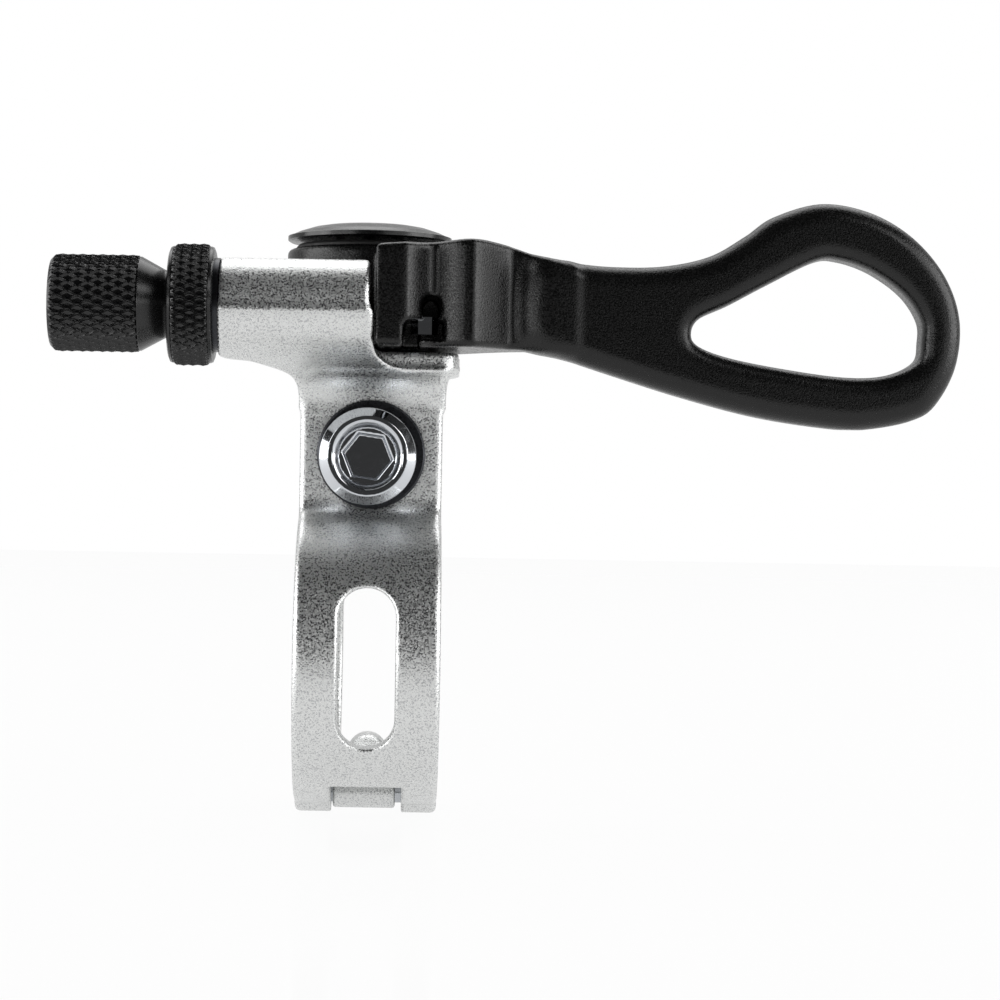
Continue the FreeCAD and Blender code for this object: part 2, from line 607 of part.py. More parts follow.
def make_strap():
    """The silver back half of the clamp with its tapped ear and middle knuckle."""
    body = new_body("clamp_strap")
    half_ring(body, "back_ring", STRAP_FACE, False)
    fillet(body, "strap_round", "edge_round", outer_arc)

    sketch = new_sketch(body, "ear_outline", "XZ_Plane", "0 - %s" % STRAP_FACE)
    polygon(sketch, [
        ("0 - clamp_width / 2", "bar_radius + clamp_wall * 0.4"),
        ("clamp_width / 2", "bar_radius + clamp_wall * 0.4"),
        ("clamp_width / 2", "bar_radius + clamp_wall * 1.1"),
        ("bolt_shift + ear_radius * 0.85", "bolt_height + ear_radius * 0.55"),
        ("bolt_shift + ear_radius * 0.45", "bolt_height + ear_radius"),
        ("bolt_shift - ear_radius * 0.45", "bolt_height + ear_radius"),
        ("bolt_shift - ear_radius * 0.85", "bolt_height + ear_radius * 0.55"),
        ("0 - clamp_width / 2", "bar_radius + clamp_wall * 1.1"),
    ])
    pad(body, "ear", sketch, "ear_depth", back=True)

    sketch = new_sketch(body, "mid_knuckle_outline", "YZ_Plane")
    circle(sketch, "0", "0 - hinge_drop", "mid_knuckle_radius")
    pad(body, "mid_knuckle", sketch, "mid_knuckle_width", midplane=True)

    sketch = new_sketch(body, "foot_outline", "YZ_Plane")
    rectangle(sketch, "0", STRAP_FACE + " + 0.6",
              "0 - hinge_drop - mid_knuckle_radius * 0.55", "0 - hinge_drop + mid_knuckle_radius")
    pad(body, "knuckle_foot", sketch, "mid_knuckle_width", midplane=True)

    # The window has a round top, and a round tab rises from its foot
    sketch = new_sketch(body, "window_outline", "XZ_Plane", "0")
    half = size("slot_width / 2")
    top = size("slot_top - slot_width / 2")
    foot = size("slot_top - slot_length - window_drop")
    rise = size("tab_rise")
    tab = size("tab_width / 2")
    sketch.addGeometry(Part.ArcOfCircle(Part.Circle(
        FreeCAD.Vector(0, top, 0), FreeCAD.Vector(0, 0, 1), half), 0, math.pi), False)
    straight_lines(sketch, [(-half, top), (-half, foot), (-tab, foot)])
    sketch.addGeometry(Part.Arc(FreeCAD.Vector(-tab, foot, 0), FreeCAD.Vector(0, foot + rise, 0),
                                FreeCAD.Vector(tab, foot, 0)), False)
    straight_lines(sketch, [(tab, foot), (half, foot), (half, top)])
    pocket(body, "window", sketch, CLAMP_OUTER + " + 1")

    sketch = new_sketch(body, "tapped_outline", "XZ_Plane", "0 - %s + 1" % STRAP_FACE)
    circle(sketch, "bolt_shift", "bolt_height", "bolt_diameter / 2 + ear_hole_clearance")
    pocket(body, "tapped_hole", sketch, "ear_depth + 2")

    sketch = new_sketch(body, "strap_pin_outline", "YZ_Plane", "0")
    circle(sketch, "0", "0 - hinge_drop", "pin_diameter / 2 + pin_clearance")
    pocket(body, "strap_pin_hole", sketch, "clamp_width + 2", midplane=True)

    clear_bore(body, "strap_bore")
    return body


def make_hinge_pin():
    return turned_piece("hinge_pin", [
        ("0", "0 - clamp_width / 2"),
        ("pin_diameter / 2 - 0.2", "0 - clamp_width / 2"),
        ("pin_diameter / 2", "0 - clamp_width / 2 + 0.2"),
        ("pin_diameter / 2", "clamp_width / 2 - 0.2"),
        ("pin_diameter / 2 - 0.2", "clamp_width / 2"),
        ("0", "clamp_width / 2"),
    ], ("0", "0", "0 - hinge_drop"), False)


def make_clamp_bolt():
    """Bolt with a bevelled round head. It is turned upright, then laid along Y."""
    body = new_body("clamp_bolt")
    seat = "(head_height)"
    length = "(head_height + washer_thickness + pad_depth + split_gap + ear_depth + bolt_end)"
    sketch = new_sketch(body, "clamp_bolt_section", "XZ_Plane")
    polygon(sketch, [
        ("0", "0"),
        ("head_diameter / 2 - head_bevel", "0"),
        ("head_diameter / 2", "head_bevel"),
        ("head_diameter / 2", seat + " - 0.25"),
        ("head_diameter / 2 - 0.25", seat),
        ("bolt_diameter / 2", seat),
        ("bolt_diameter / 2", length + " - 0.5"),
        ("bolt_diameter / 2 - 0.5", length),
        ("0", length),
    ])
    turned(body, "clamp_bolt_turning", sketch, "V_Axis")
    sketch = new_sketch(body, "mouth_section", "XZ_Plane")
    polygon(sketch, [
        ("0", "0 - 0.1"),
        ("socket_width * 0.577 + socket_mouth + 0.1", "0 - 0.1"),
        ("socket_width * 0.577", "socket_mouth"),
        ("0", "socket_mouth"),
    ])
    turned(body, "socket_mouth_cut", sketch, "V_Axis", cut=True)
    sketch = new_sketch(body, "socket_outline", "XY_Plane")
    hexagon(sketch, "0", "0", "socket_width", turn=24)
    pocket(body, "socket", sketch, "socket_depth", back=True)
    # Local Z, from the head to the tip, points along global Y
    body.Placement.Rotation = FreeCAD.Rotation(FreeCAD.Vector(1, 0, 0), -90)
    bind(body, "Placement.Base.x", "bolt_shift")
    bind(body, "Placement.Base.y", PAD_FRONT + " - washer_thickness - head_height")
    bind(body, "Placement.Base.z", "bolt_height")
    doc.recompute()
    return body


def make_clamp_washer():
    body = turned_piece("clamp_washer", [
        ("bolt_diameter / 2 + bolt_hole_clearance", "0"),
        ("washer_diameter / 2", "0"),
        ("washer_diameter / 2", "washer_thickness - 0.2"),
        ("washer_diameter / 2 - 0.2", "washer_thickness"),
        ("bolt_diameter / 2 + bolt_hole_clearance", "washer_thickness"),
    ], ("0", PAD_FRONT, "seat_height"), True)
    body.Placement.Rotation = FreeCAD.Rotation(FreeCAD.Vector(1, 0, 0), 90)
    doc.recompute()
    return body


def make_adjuster():
    """Knurled barrel, cone and threaded shank in one turned piece."""
    return turned_piece("barrel_adjuster", [
        ("housing_seat / 2", "0 - adjuster_length - cone_length"),
        ("adjuster_radius - adjuster_bevel", "0 - adjuster_length - cone_length"),
        ("adjuster_radius", "0 - adjuster_length - cone_length + adjuster_bevel"),
        ("adjuster_radius", "0 - cone_length"),
        ("cone_radius", "0 - cone_rim"),
        ("cone_radius", "0"),
        ("adjuster_thread / 2", "0"),
        ("adjuster_thread / 2", "adjuster_shank - 0.4"),
        ("adjuster_thread / 2 - 0.4", "adjuster_shank"),
        ("cable_bore / 2", "adjuster_shank"),
        ("cable_bore / 2", "housing_seat_depth - adjuster_length - cone_length + 0.9"),
        ("housing_seat / 2", "housing_seat_depth - adjuster_length - cone_length"),
    ], (NUT_LEFT, "0 - cable_front", "cable_height"), False)


def make_lock_nut():
    return turned_piece("lock_nut", [
        ("adjuster_thread / 2 + thread_clearance", "0"),
        ("nut_radius - nut_bevel", "0"),
        ("nut_radius", "nut_bevel"),
        ("nut_radius", "nut_width - nut_bevel"),
        ("nut_radius - nut_bevel", "nut_width"),
        ("adjuster_thread / 2 + thread_clearance", "nut_width"),
    ], (NUT_LEFT, "0 - cable_front", "cable_height"), False)


def make_lock_washer():
    return turned_piece("lock_washer", ring_profile(
        "adjuster_thread / 2 + 3 * thread_clearance", "lock_washer_radius",
        "0", "lock_washer_thickness"),
        ("0 - tube_start - lock_washer_thickness", "0 - cable_front", "cable_height"), False)


def paddle_outline():
    """Neck and loop seen from the front. The left end lies inside the anchor block."""
    cx = size("loop_centre_x")
    cz = size("loop_centre_z")
    radius = size("loop_radius")
    drop = size("loop_drop")
    neck_x = size("neck_start")
    neck_top = size("neck_top")
    neck_low = size("neck_bottom")
    run = cx - neck_x

    def on_end(degrees, grow=0.0):
        angle = math.radians(degrees)
        return (cx + (radius + grow) * math.cos(angle), cz + (radius + grow) * math.sin(angle))

    upper = [
        (neck_x - 4.0, neck_top - 2.2),
        (neck_x - 2.8, neck_top + 0.1),
        (neck_x, neck_top + 0.34),
        (neck_x + 0.17 * run, neck_top),
        (neck_x + 0.36 * run, neck_top + 0.12),
        (neck_x + 0.53 * run, neck_top + 1.15),
        (neck_x + 0.66 * run, neck_top + 3.2),
    ]
    end = [on_end(121, 0.37), on_end(98, 0.11), on_end(74, -0.39), on_end(50, -0.57), on_end(26, -0.36),
           on_end(4), on_end(-18, 0.22), on_end(-38, 0.28)]
    lower = [
        (cx + 0.62 * radius, cz - drop + 0.95),
        (cx + 0.30 * radius, cz - drop + 0.09),
        (cx, cz - drop),
        (neck_x + 0.72 * run, cz - drop + 1.0),
        (neck_x + 0.44 * run, cz - drop + 2.85),
        (neck_x + 0.18 * run, neck_low - 1.3),
        (neck_x, neck_low + 0.25),
        (neck_x - 2.8, neck_low + 1.2),
        (neck_x - 4.0, neck_low + 3.0),
    ]
    return upper + end + lower


def thumb_hole_outline():
    """The hole of the loop, an arm's width inside its outline and pointed at the neck."""
    cx = size("loop_centre_x")
    cz = size("loop_centre_z")
    radius = size("loop_radius")
    drop = size("loop_drop")
    arm = size("arm_width")
    tip = size("tip_width")
    start = size("hole_start")
    inner = radius - arm
    low = cz - drop + arm
    run = cx - start
    edge = cx + radius - tip
    return [
        (start, low + 0.80 * arm),
        (start + 0.055 * run, low + 1.08 * arm),
        (start + 0.26 * run, low + 1.36 * arm),
        (start + 0.515 * run, cz + 0.57 * inner),
        (cx - 0.33 * inner, cz + 0.91 * inner),
        (cx + 0.01 * inner, cz + 0.93 * inner),
        (cx + 0.46 * inner, cz + 0.78 * inner),
        (cx + 0.91 * inner, cz + 0.47 * inner),
        (edge - 0.14, cz + 0.11 * inner),
        (edge, cz - 0.19 * inner),
        (edge - 0.47, low + 1.63),
        (cx + 0.69 * inner, low + 0.25),
        (cx + 0.10 * inner, low),
        (start + 0.62 * run, low + 0.75),
        (start + 0.25 * run, low + 1.75),
        (start + 0.045 * run, low + 2.85),
    ]


def block_outline():
    """Front and back of the anchor block seen from above: the horn, two flutes and a crest."""
    left = size("0 - tube_end + horn_gap")
    front = -size("horn_front")
    flute = -size("flute_front")
    crest = -size("crest_front")
    dip = -size("dip_front")
    horn_end = left + size("horn_width")
    crest_start = size("crest_start")
    crest_end = size("crest_end")
    neck_x = size("neck_start")
    face = -size("paddle_front")
    back = face + size("paddle_thickness")
    hub_x = size("pivot_shift")
    hub_y = size("pivot_back")
    hub = size("hub_radius")
    valley = (horn_end + crest_start) / 2
    ease = 0.3
    front_edge = [
        (left, front + 2 * ease),
        (left + ease, front + 0.2 * ease),
        (left + 3 * ease, front),
        (horn_end - ease, front),
        (horn_end + ease, front + ease),
        (valley - 1.0, flute - ease),
        (valley, flute + 0.1 * ease),
        (valley + 1.0, flute - 0.6 * ease),
        (crest_start, crest + ease),
        ((crest_start + crest_end) / 2, crest - 0.3 * ease),
        (crest_end, crest + ease),
        (size("dip_start"), dip - ease),
        (size("(dip_start + dip_end) / 2"), dip),
        (size("dip_end"), dip - ease),
        (neck_x - ease, face + 0.5 * ease),
        (neck_x + 1.0, face + ease),
    ]
    back_edge = [
        (neck_x + 1.0, back - ease),
        (neck_x - 2.0, back + ease),
        (size("dip_start"), back + 0.4 * size("paddle_thickness")),
        (hub_x + hub * 1.08, hub_y - 0.1 * hub),
        (hub_x + hub * 0.93, hub_y + hub * 0.3),
    ]
    inside = [(hub_x, hub_y), (left, hub_y - 0.5 * hub)]
    return front_edge, back_edge, inside


def make_paddle():
    """Neck and loop as a rounded flat bar, later joined to the lever's block."""
    body = new_body("lever_paddle")
    sketch = new_sketch(body, "paddle_outline", "XZ_Plane", "paddle_front")
    curve(sketch, paddle_outline())
    pad(body, "paddle_blank", sketch, "paddle_thickness", back=True)
    sketch = new_sketch(body, "thumb_hole_outline", "XZ_Plane", "0")
    curve(sketch, thumb_hole_outline())
    pocket(body, "thumb_hole", sketch, "4 * paddle_thickness", midplane=True)
    fillet(body, "paddle_round", "arm_round", lambda edge: near(edge.BoundBox.YMin, edge.BoundBox.YMax))
    return body


def make_lever():
    """Black casting: hub, cable anchor block with flutes, neck and open thumb loop."""
    paddle = make_paddle()
    body = new_body("lever")
    sketch = new_sketch(body, "hub_outline", "XY_Plane", LEVER_LOW)
    circle(sketch, PIVOT[0], PIVOT[1], "hub_radius")
    pad(body, "hub", sketch, "lever_height")
    fillet(body, "hub_round", "edge_fillet", lambda edge: edge.Curve.TypeId == "Part::GeomCircle")
    front_edge, back_edge, inside = block_outline()
    sketch = new_sketch(body, "block_outline", "XY_Plane", LEVER_LOW)
    open_curve(sketch, front_edge)
    straight_lines(sketch, [front_edge[-1], back_edge[0]])
    open_curve(sketch, back_edge)
    straight_lines(sketch, [back_edge[-1]] + inside + [front_edge[0]])
    pad(body, "anchor_block", sketch, "lever_height")
    top = size(LEVER_TOP)

    # The block's top falls away towards the neck
    neck_x = size("neck_start")
    neck_top = size("neck_top")
    fall = [
        (size("crest_end"), top + 0.3),
        (size("dip_start"), top - 0.1),
        (size("dip_end"), (top + neck_top) / 2),
        (neck_x - 1.0, neck_top + 0.25),
        (neck_x + 2.0, neck_top - 0.3),
    ]
    sketch = new_sketch(body, "fall_outline", "XZ_Plane", "0")
    open_curve(sketch, fall)
    straight_lines(sketch, [fall[-1], (fall[-1][0], top + 2), (fall[0][0], top + 2), fall[0]])
    pocket(body, "top_fall", sketch, "60", midplane=True)

    join = body.newObject("PartDesign::Boolean", "paddle_join")
    join.Type = "Fuse"
    join.setObjects([paddle])
    doc.recompute()

    # Bearing seat from above, down to the lip
    sketch = new_sketch(body, "seat_outline", "XY_Plane", LEVER_TOP + " + 1")
    circle(sketch, PIVOT[0], PIVOT[1], "bearing_outside / 2 + fit_play")
    pocket(body, "bearing_seat", sketch,
           "lever_height + 1 + lever_gap - thrust_height")
    sketch = new_sketch(body, "lip_outline", "XY_Plane", LEVER_TOP + " + 1")
    circle(sketch, PIVOT[0], PIVOT[1], "bearing_outside / 2 - lip_width")
    pocket(body, "lip_hole", sketch, "lever_height + 3")

    # Annular pocket for the return spring, open towards the plate
    sketch = new_sketch(body, "spring_pocket_outline", "XY_Plane", LEVER_LOW + " - 1")
    circle(sketch, PIVOT[0], PIVOT[1], "coil_radius + wire_diameter / 2 + spring_room")
    circle(sketch, PIVOT[0], PIVOT[1], "coil_radius - wire_diameter / 2 - spring_room")
    pocket(body, "spring_pocket", sketch,
           "1 + coil_turns * coil_pitch + wire_diameter + spring_room", back=True)

    # The cable comes in facing the tube and leaves on the slope of the first flute
    sketch = new_sketch(body, "cable_exit_outline", "YZ_Plane", "0 - 4")
    circle(sketch, "0 - cable_front", "cable_height", "anchor_hole / 2")
    pocket(body, "cable_exit", sketch, "4 + anchor_shift + anchor_hole / 2", back=True)

    # Notch for the clamp screw's head and the screw's own thread
    sketch = new_sketch(body, "notch_outline", "XY_Plane", LEVER_LOW + " - 1")
    rectangle(sketch,
              "anchor_shift - notch_width / 2 - 0.4", "anchor_shift + notch_width / 2 - 0.4",
              "0 - horn_front - 2", "0 - cable_front + clamp_head_width / 2 + 0.5")
    pocket(body, "screw_notch", sketch, "1 + notch_height", back=True)
    sketch = new_sketch(body, "screw_outline", "XY_Plane", LEVER_LOW + " - 1")
    circle(sketch, "anchor_shift - 0.6", "0 - cable_front", "clamp_thread / 2 + thread_clearance")
    pocket(body, "screw_hole", sketch, "cable_height - %s + 1" % LEVER_LOW, back=True)
    return body


def make_clamp_screw():
    body = new_body("cable_clamp_screw")
    sketch = new_sketch(body, "screw_head_outline", "XY_Plane")
    hexagon(sketch, "0", "0", "clamp_head_width", turn=4)
    pad(body, "screw_head", sketch, "clamp_head_height")
    sketch = new_sketch(body, "screw_shank_outline", "XY_Plane", "clamp_head_height / 2")
    circle(sketch, "0", "0", "clamp_thread / 2")
    pad(body, "screw_shank", sketch,
        "clamp_head_height / 2 + cable_height - anchor_hole / 2 + 0.2 - (%s + notch_height)" % LEVER_LOW)
    bind(body, "Placement.Base.x", "anchor_shift - 0.6")
    bind(body, "Placement.Base.y", "0 - cable_front")
    bind(body, "Placement.Base.z", LEVER_LOW + " + notch_height - clamp_head_height")
    doc.recompute()
    return body


def make_races():
    """The races of both bearings, each with its ball groove."""
    outer = "(bearing_outside / 2)"
    inner = "(pivot_shank / 2 + fit_play)"
    middle = "(bearing_width / 2)"
    notch = "(ball_diameter / 2)"
    for label, level in (("lower", LOWER_BEARING), ("upper", UPPER_BEARING)):
        place = (PIVOT[0], PIVOT[1], level)
        turned_piece("outer_race_" + label, [
            (outer + " - race_wall", "0"),
            (outer, "0"),
            (outer, "bearing_width"),
            (outer + " - race_wall", "bearing_width"),
            (outer + " - race_wall", middle + " + " + notch),
            (outer + " - race_wall + groove_depth", middle + " + " + notch + " * 0.6"),
            (outer + " - race_wall + groove_depth", middle + " - " + notch + " * 0.6"),
            (outer + " - race_wall", middle + " - " + notch),
        ], place, True)
        turned_piece("inner_race_" + label, [
            (inner, "0"),
            (inner + " + race_wall", "0"),
            (inner + " + race_wall", middle + " - " + notch),
            (inner + " + race_wall - groove_depth", middle + " - " + notch + " * 0.6"),
            (inner + " + race_wall - groove_depth", middle + " + " + notch + " * 0.6"),
            (inner + " + race_wall", middle + " + " + notch),
            (inner + " + race_wall", "bearing_width"),
            (inner, "bearing_width"),
        ], place, True)


def make_balls():
    """Each bearing's balls, spaced evenly between the two races."""
    outer = size("bearing_outside / 2 - race_wall + groove_depth")
    inner = size("pivot_shank / 2 + fit_play + race_wall - groove_depth")
    track = (outer + inner) / 2
    radius = min(size("ball_diameter / 2"), (outer - inner) / 2 - size("ball_play"))
    count = int(size("ball_count"))
    for label, level in (("lower", LOWER_BEARING), ("upper", UPPER_BEARING)):
        height = size("bearing_width / 2")
        balls = []
        for step in range(count):
            angle = 2 * math.pi * step / count
            centre = FreeCAD.Vector(track * math.cos(angle), track * math.sin(angle), height)
            balls.append(Part.makeSphere(radius, centre))
        feature = doc.addObject("Part::Feature", "balls_" + label)
        feature.Label = "balls_" + label
        feature.Shape = Part.makeCompound(balls)
        feature.Placement.Base = FreeCAD.Vector(size(PIVOT[0]), size(PIVOT[1]), size(level))


def make_stack():
    """Spacers, thrust washer and the dust seal, all turned rings on the pivot."""
    shank = "pivot_shank / 2 + fit_play"
    race = "bearing_outside / 2"
    turned_piece("outer_spacer", ring_profile(
        race + " - race_wall", race, "0", "spacer_height"),
        (PIVOT[0], PIVOT[1], LOWER_BEARING + " + bearing_width"), True)
    turned_piece("inner_spacer", ring_profile(
        shank, shank + " + washer_wall", "0", "spacer_height"),
        (PIVOT[0], PIVOT[1], LOWER_BEARING + " + bearing_width"), True)
    turned_piece("thrust_washer", ring_profile(
        shank, shank + " + washer_wall", "0", "thrust_height"),
        (PIVOT[0], PIVOT[1], PLATE_TOP), True)
    seal = "(cap_gap - 0.3)"
    turned_piece("dust_seal", [
        ("seal_radius - seal_width", "0"),
        ("seal_radius", "0"),
        ("seal_radius", seal + " - 0.25"),
        ("seal_radius - 0.25", seal),
        ("seal_radius - seal_width + 0.25", seal),
        ("seal_radius - seal_width", seal + " - 0.25"),
    ], (PIVOT[0], PIVOT[1], LEVER_TOP), True)


def make_cap():
    """Domed cap: a rim over the hub and a boss that bears on the upper inner race."""
    rim = "(%s + cap_gap)" % LEVER_TOP
    dome = "(%s + cap_rim + cap_rise)" % rim
    body = turned_piece("pivot_cap", [
        ("pivot_shank / 2 + fit_play", "0"),
        ("cap_boss", "0"),
        ("cap_boss", rim + " - " + STACK_TOP),
        ("cap_radius - 0.25", rim + " - " + STACK_TOP),
        ("cap_radius", rim + " + 0.15 - " + STACK_TOP),
        ("cap_radius", rim + " + cap_rim - 0.1 - " + STACK_TOP),
        ("cap_radius - 0.35", rim + " + cap_rim - " + STACK_TOP),
        ("cap_radius - 1.1", rim + " + cap_rim + cap_rise * 0.35 - " + STACK_TOP),
        ("cap_flat + 0.7", dome + " - cap_rise * 0.2 - " + STACK_TOP),
        ("cap_flat - 0.4", dome + " - " + STACK_TOP),
        ("sunk_head / 2 + fit_play", dome + " - " + STACK_TOP),
        ("pivot_shank / 2 + fit_play", dome + " - (sunk_head - pivot_shank) / 2 - " + STACK_TOP),
    ], (PIVOT[0], PIVOT[1], STACK_TOP), True)
    return body


def make_pivot_bolt():
    """Countersunk shoulder bolt, from the cap's dome down into the plate's boss."""
    body = new_body("pivot_bolt")
    dome = "(%s + cap_gap + cap_rim + cap_rise - %s)" % (LEVER_TOP, PLATE_TOP)
    sketch = new_sketch(body, "pivot_bolt_section", "XZ_Plane")
    polygon(sketch, [
        ("0", "0 - plate_thickness - boss_depth + 0.4"),
        ("pivot_thread / 2 - 0.3", "0 - plate_thickness - boss_depth + 0.4"),
        ("pivot_thread / 2", "0 - plate_thickness - boss_depth + 0.7"),
        ("pivot_thread / 2", "0"),
        ("pivot_shank / 2", "0"),
        ("pivot_shank / 2", dome + " - (sunk_head - pivot_shank) / 2"),
        ("sunk_head / 2", dome),
        ("0", dome),
    ])
    turned(body, "pivot_bolt_turning", sketch, "V_Axis")
    sketch = new_sketch(body, "pivot_socket_outline", "XY_Plane", dome)
    hexagon(sketch, "0", "0", "sunk_socket", turn=10)
    pocket(body, "pivot_socket", sketch, "2.0")
    bind(body, "Placement.Base.x", PIVOT[0])
    bind(body, "Placement.Base.y", PIVOT[1])
    bind(body, "Placement.Base.z", PLATE_TOP)
    doc.recompute()
    return body


def make_spring():
    """Torsion spring: a helix of round wire whose lower leg stands in the plate."""
    radius = size("coil_radius")
    wire = size("wire_diameter / 2")
    pitch = size("coil_pitch")
    turns = size("coil_turns")
    helix = Part.makeHelix(pitch, pitch * turns, radius)
    section = Part.Wire(Part.Circle(
        FreeCAD.Vector(radius, 0, 0), FreeCAD.Vector(0, 1, 0), wire).toShape())
    coil = Part.Wire(helix).makePipeShell([section], True, True)
    leg = Part.makeCylinder(wire, size("plate_thickness"),
                            FreeCAD.Vector(radius, 0, -size("plate_thickness")))
    knee = Part.makeSphere(wire, FreeCAD.Vector(radius, 0, 0))
    feature = doc.addObject("Part::Feature", "return_spring")
    feature.Label = "return_spring"
    feature.Shape = coil.fuse([leg, knee]).removeSplitter()
    feature.Placement.Base = FreeCAD.Vector(
        size(PIVOT[0]), size(PIVOT[1]), size(PLATE_TOP + " + wire_diameter / 2 + 0.05"))


make_housing()
make_strap()
make_hinge_pin()
make_clamp_bolt()
make_clamp_washer()
make_adjuster()
make_lock_nut()
make_lock_washer()
make_lever()
make_clamp_screw()
make_races()
make_balls()
make_stack()
make_cap()
make_pivot_bolt()
make_spring()
doc.recompute()

for item in doc.Objects:
    if "Invalid" in item.State or "Error" in item.State:
        raise RuntimeError("%s failed: %s" % (item.Name, item.State))

# The paddle's body is only a tool of the lever's
pieces = [item for item in doc.Objects
          if item.TypeId in ("PartDesign::Body", "Part::Feature") and item.Label != "lever_paddle"]
for piece in pieces:
    if piece.Shape.isNull() or not piece.Shape.isValid():
        raise RuntimeError("%s has no valid shape" % piece.Label)
for piece in pieces:
    piece.Shape.exportStep("parts/%s.step" % piece.Label)
    print(piece.Label, len(piece.Shape.Solids), round(piece.Shape.Volume, 2))
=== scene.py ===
# Dropper post remote lever: the dressed part, laid out as an add-on and run as a script
import math

import bmesh
import bpy
import numpy as np
from bpy.props import FloatProperty, FloatVectorProperty, IntProperty, PointerProperty
from mathutils import Matrix, Vector


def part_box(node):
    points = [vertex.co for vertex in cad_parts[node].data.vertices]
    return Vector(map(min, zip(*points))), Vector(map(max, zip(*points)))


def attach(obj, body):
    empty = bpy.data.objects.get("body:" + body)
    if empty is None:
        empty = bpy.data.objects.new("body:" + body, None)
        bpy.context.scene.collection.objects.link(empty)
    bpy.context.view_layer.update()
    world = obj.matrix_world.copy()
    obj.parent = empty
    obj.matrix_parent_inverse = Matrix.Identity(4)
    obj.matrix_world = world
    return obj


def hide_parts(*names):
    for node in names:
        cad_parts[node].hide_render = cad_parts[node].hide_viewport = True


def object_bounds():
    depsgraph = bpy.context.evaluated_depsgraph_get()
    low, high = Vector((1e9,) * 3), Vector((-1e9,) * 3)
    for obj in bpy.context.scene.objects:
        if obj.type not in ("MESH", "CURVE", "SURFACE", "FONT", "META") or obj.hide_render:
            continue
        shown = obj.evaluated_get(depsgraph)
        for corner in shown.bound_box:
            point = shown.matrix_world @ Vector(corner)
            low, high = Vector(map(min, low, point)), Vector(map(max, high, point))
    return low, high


bl_info = {
    "name": "Dropper remote lever",
    "version": (1, 0, 0),
    "blender": (4, 5, 0),
    "location": "View3D > Sidebar > Remote lever",
    "description": "Dresses the packed model of a dropper post remote lever",
    "category": "Object",
}

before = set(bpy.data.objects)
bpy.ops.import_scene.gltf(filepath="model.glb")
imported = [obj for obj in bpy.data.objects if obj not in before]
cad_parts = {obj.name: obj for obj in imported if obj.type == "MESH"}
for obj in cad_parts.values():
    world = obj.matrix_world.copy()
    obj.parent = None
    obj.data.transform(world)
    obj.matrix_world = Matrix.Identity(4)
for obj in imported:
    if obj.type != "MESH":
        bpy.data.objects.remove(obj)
cad_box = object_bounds()
MM = 0.001
TAU = 2 * math.pi
# Edges of the turned pieces that are sharper than this are drawn sharp
CREASE = math.radians(40)


# Small helpers

def corner(node, which):
    """Lowest or highest corner of a CAD node in millimetres."""
    return [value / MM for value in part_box(node)[which]]


def linear(text):
    """Linear colour from an sRGB hex value."""
    parts = [int(text[i:i + 2], 16) / 255 for i in (1, 3, 5)]
    return [c / 12.92 if c <= 0.04045 else ((c + 0.055) / 1.055) ** 2.4 for c in parts] + [1.0]


def size(name, description, default):
    """A length in millimetres for one of the property groups."""
    return FloatProperty(name=name, description=description + ", in millimetres", default=default)


def number(name, description, default):
    """A plain number for one of the property groups."""
    return FloatProperty(name=name, description=description, default=default)


def angle(name, description, degrees):
    """An angle for one of the property groups."""
    return FloatProperty(name=name, description=description, default=math.radians(degrees), subtype="ANGLE")


def colour(name, description, value):
    """A colour for one of the property groups, from its sRGB hex value."""
    return FloatVectorProperty(name=name, description=description, subtype="COLOR", size=4,
                               default=linear(value))


def add(tree, kind, settings=None, **inputs):
    """Adds a node with its settings, and sets or links its inputs by name or by number."""
    made = tree.nodes.new(kind)
    for name, value in (settings or {}).items():
        setattr(made, name, value)
    for name, value in inputs.items():
        key = int(name[1:]) if name[1:].isdigit() else name.replace("_", " ")
        socket = made.inputs[key]
        if isinstance(value, bpy.types.NodeSocket):
            tree.links.new(value, socket)
        elif value is not None:
            socket.default_value = value
    return made


def math_node(tree, operation, a, b=None):
    """Result of one sum in a node tree."""
    return add(tree, "ShaderNodeMath", {"operation": operation}, i0=a, i1=b).outputs[0]


def new_material(name):
    """A material with an empty tree and the shader that it ends in."""
    material = bpy.data.materials.new(name)
    material.use_nodes = True
    tree = material.node_tree
    tree.nodes.clear()
    shader = add(tree, "ShaderNodeBsdfPrincipled")
    add(tree, "ShaderNodeOutputMaterial", Surface=shader.outputs[0])
    place = add(tree, "ShaderNodeTexCoord").outputs["Object"]
    return material, tree, shader, place


def noise(tree, place, grain, detail=1.0, roughness=0.5):
    """Noise with a grain of this size in millimetres."""
    return add(tree, "ShaderNodeTexNoise", Vector=place, Scale=1 / (grain * MM),
               Detail=detail, Roughness=roughness).outputs["Fac"]


def ramp(tree, value, given, wanted):
    """Carries one range of a value over to another."""
    return add(tree, "ShaderNodeMapRange", Value=value, i1=given[0], i2=given[1],
               i3=wanted[0], i4=wanted[1]).outputs[0]


def bump(tree, height, strength, depth, normal=None):
    """Relief of this depth in millimetres, over another relief if there is one."""
    return add(tree, "ShaderNodeBump", Strength=strength, Distance=depth * MM, Height=height,
               Normal=normal).outputs[0]


def finish_piece(name, mesh, body, slot, node):
    """Links a piece at the origin, gives it its finish, hangs it on its body and hides the CAD node that it
    replaces.
    """
    piece = bpy.data.objects.new(name, mesh)
    bpy.context.scene.collection.objects.link(piece)
    mesh.materials.clear()
    mesh.materials.append(finish(slot))
    mesh.polygons.foreach_set("material_index", [0] * len(mesh.polygons))
    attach(piece, body)
    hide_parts(node)


# Finishes

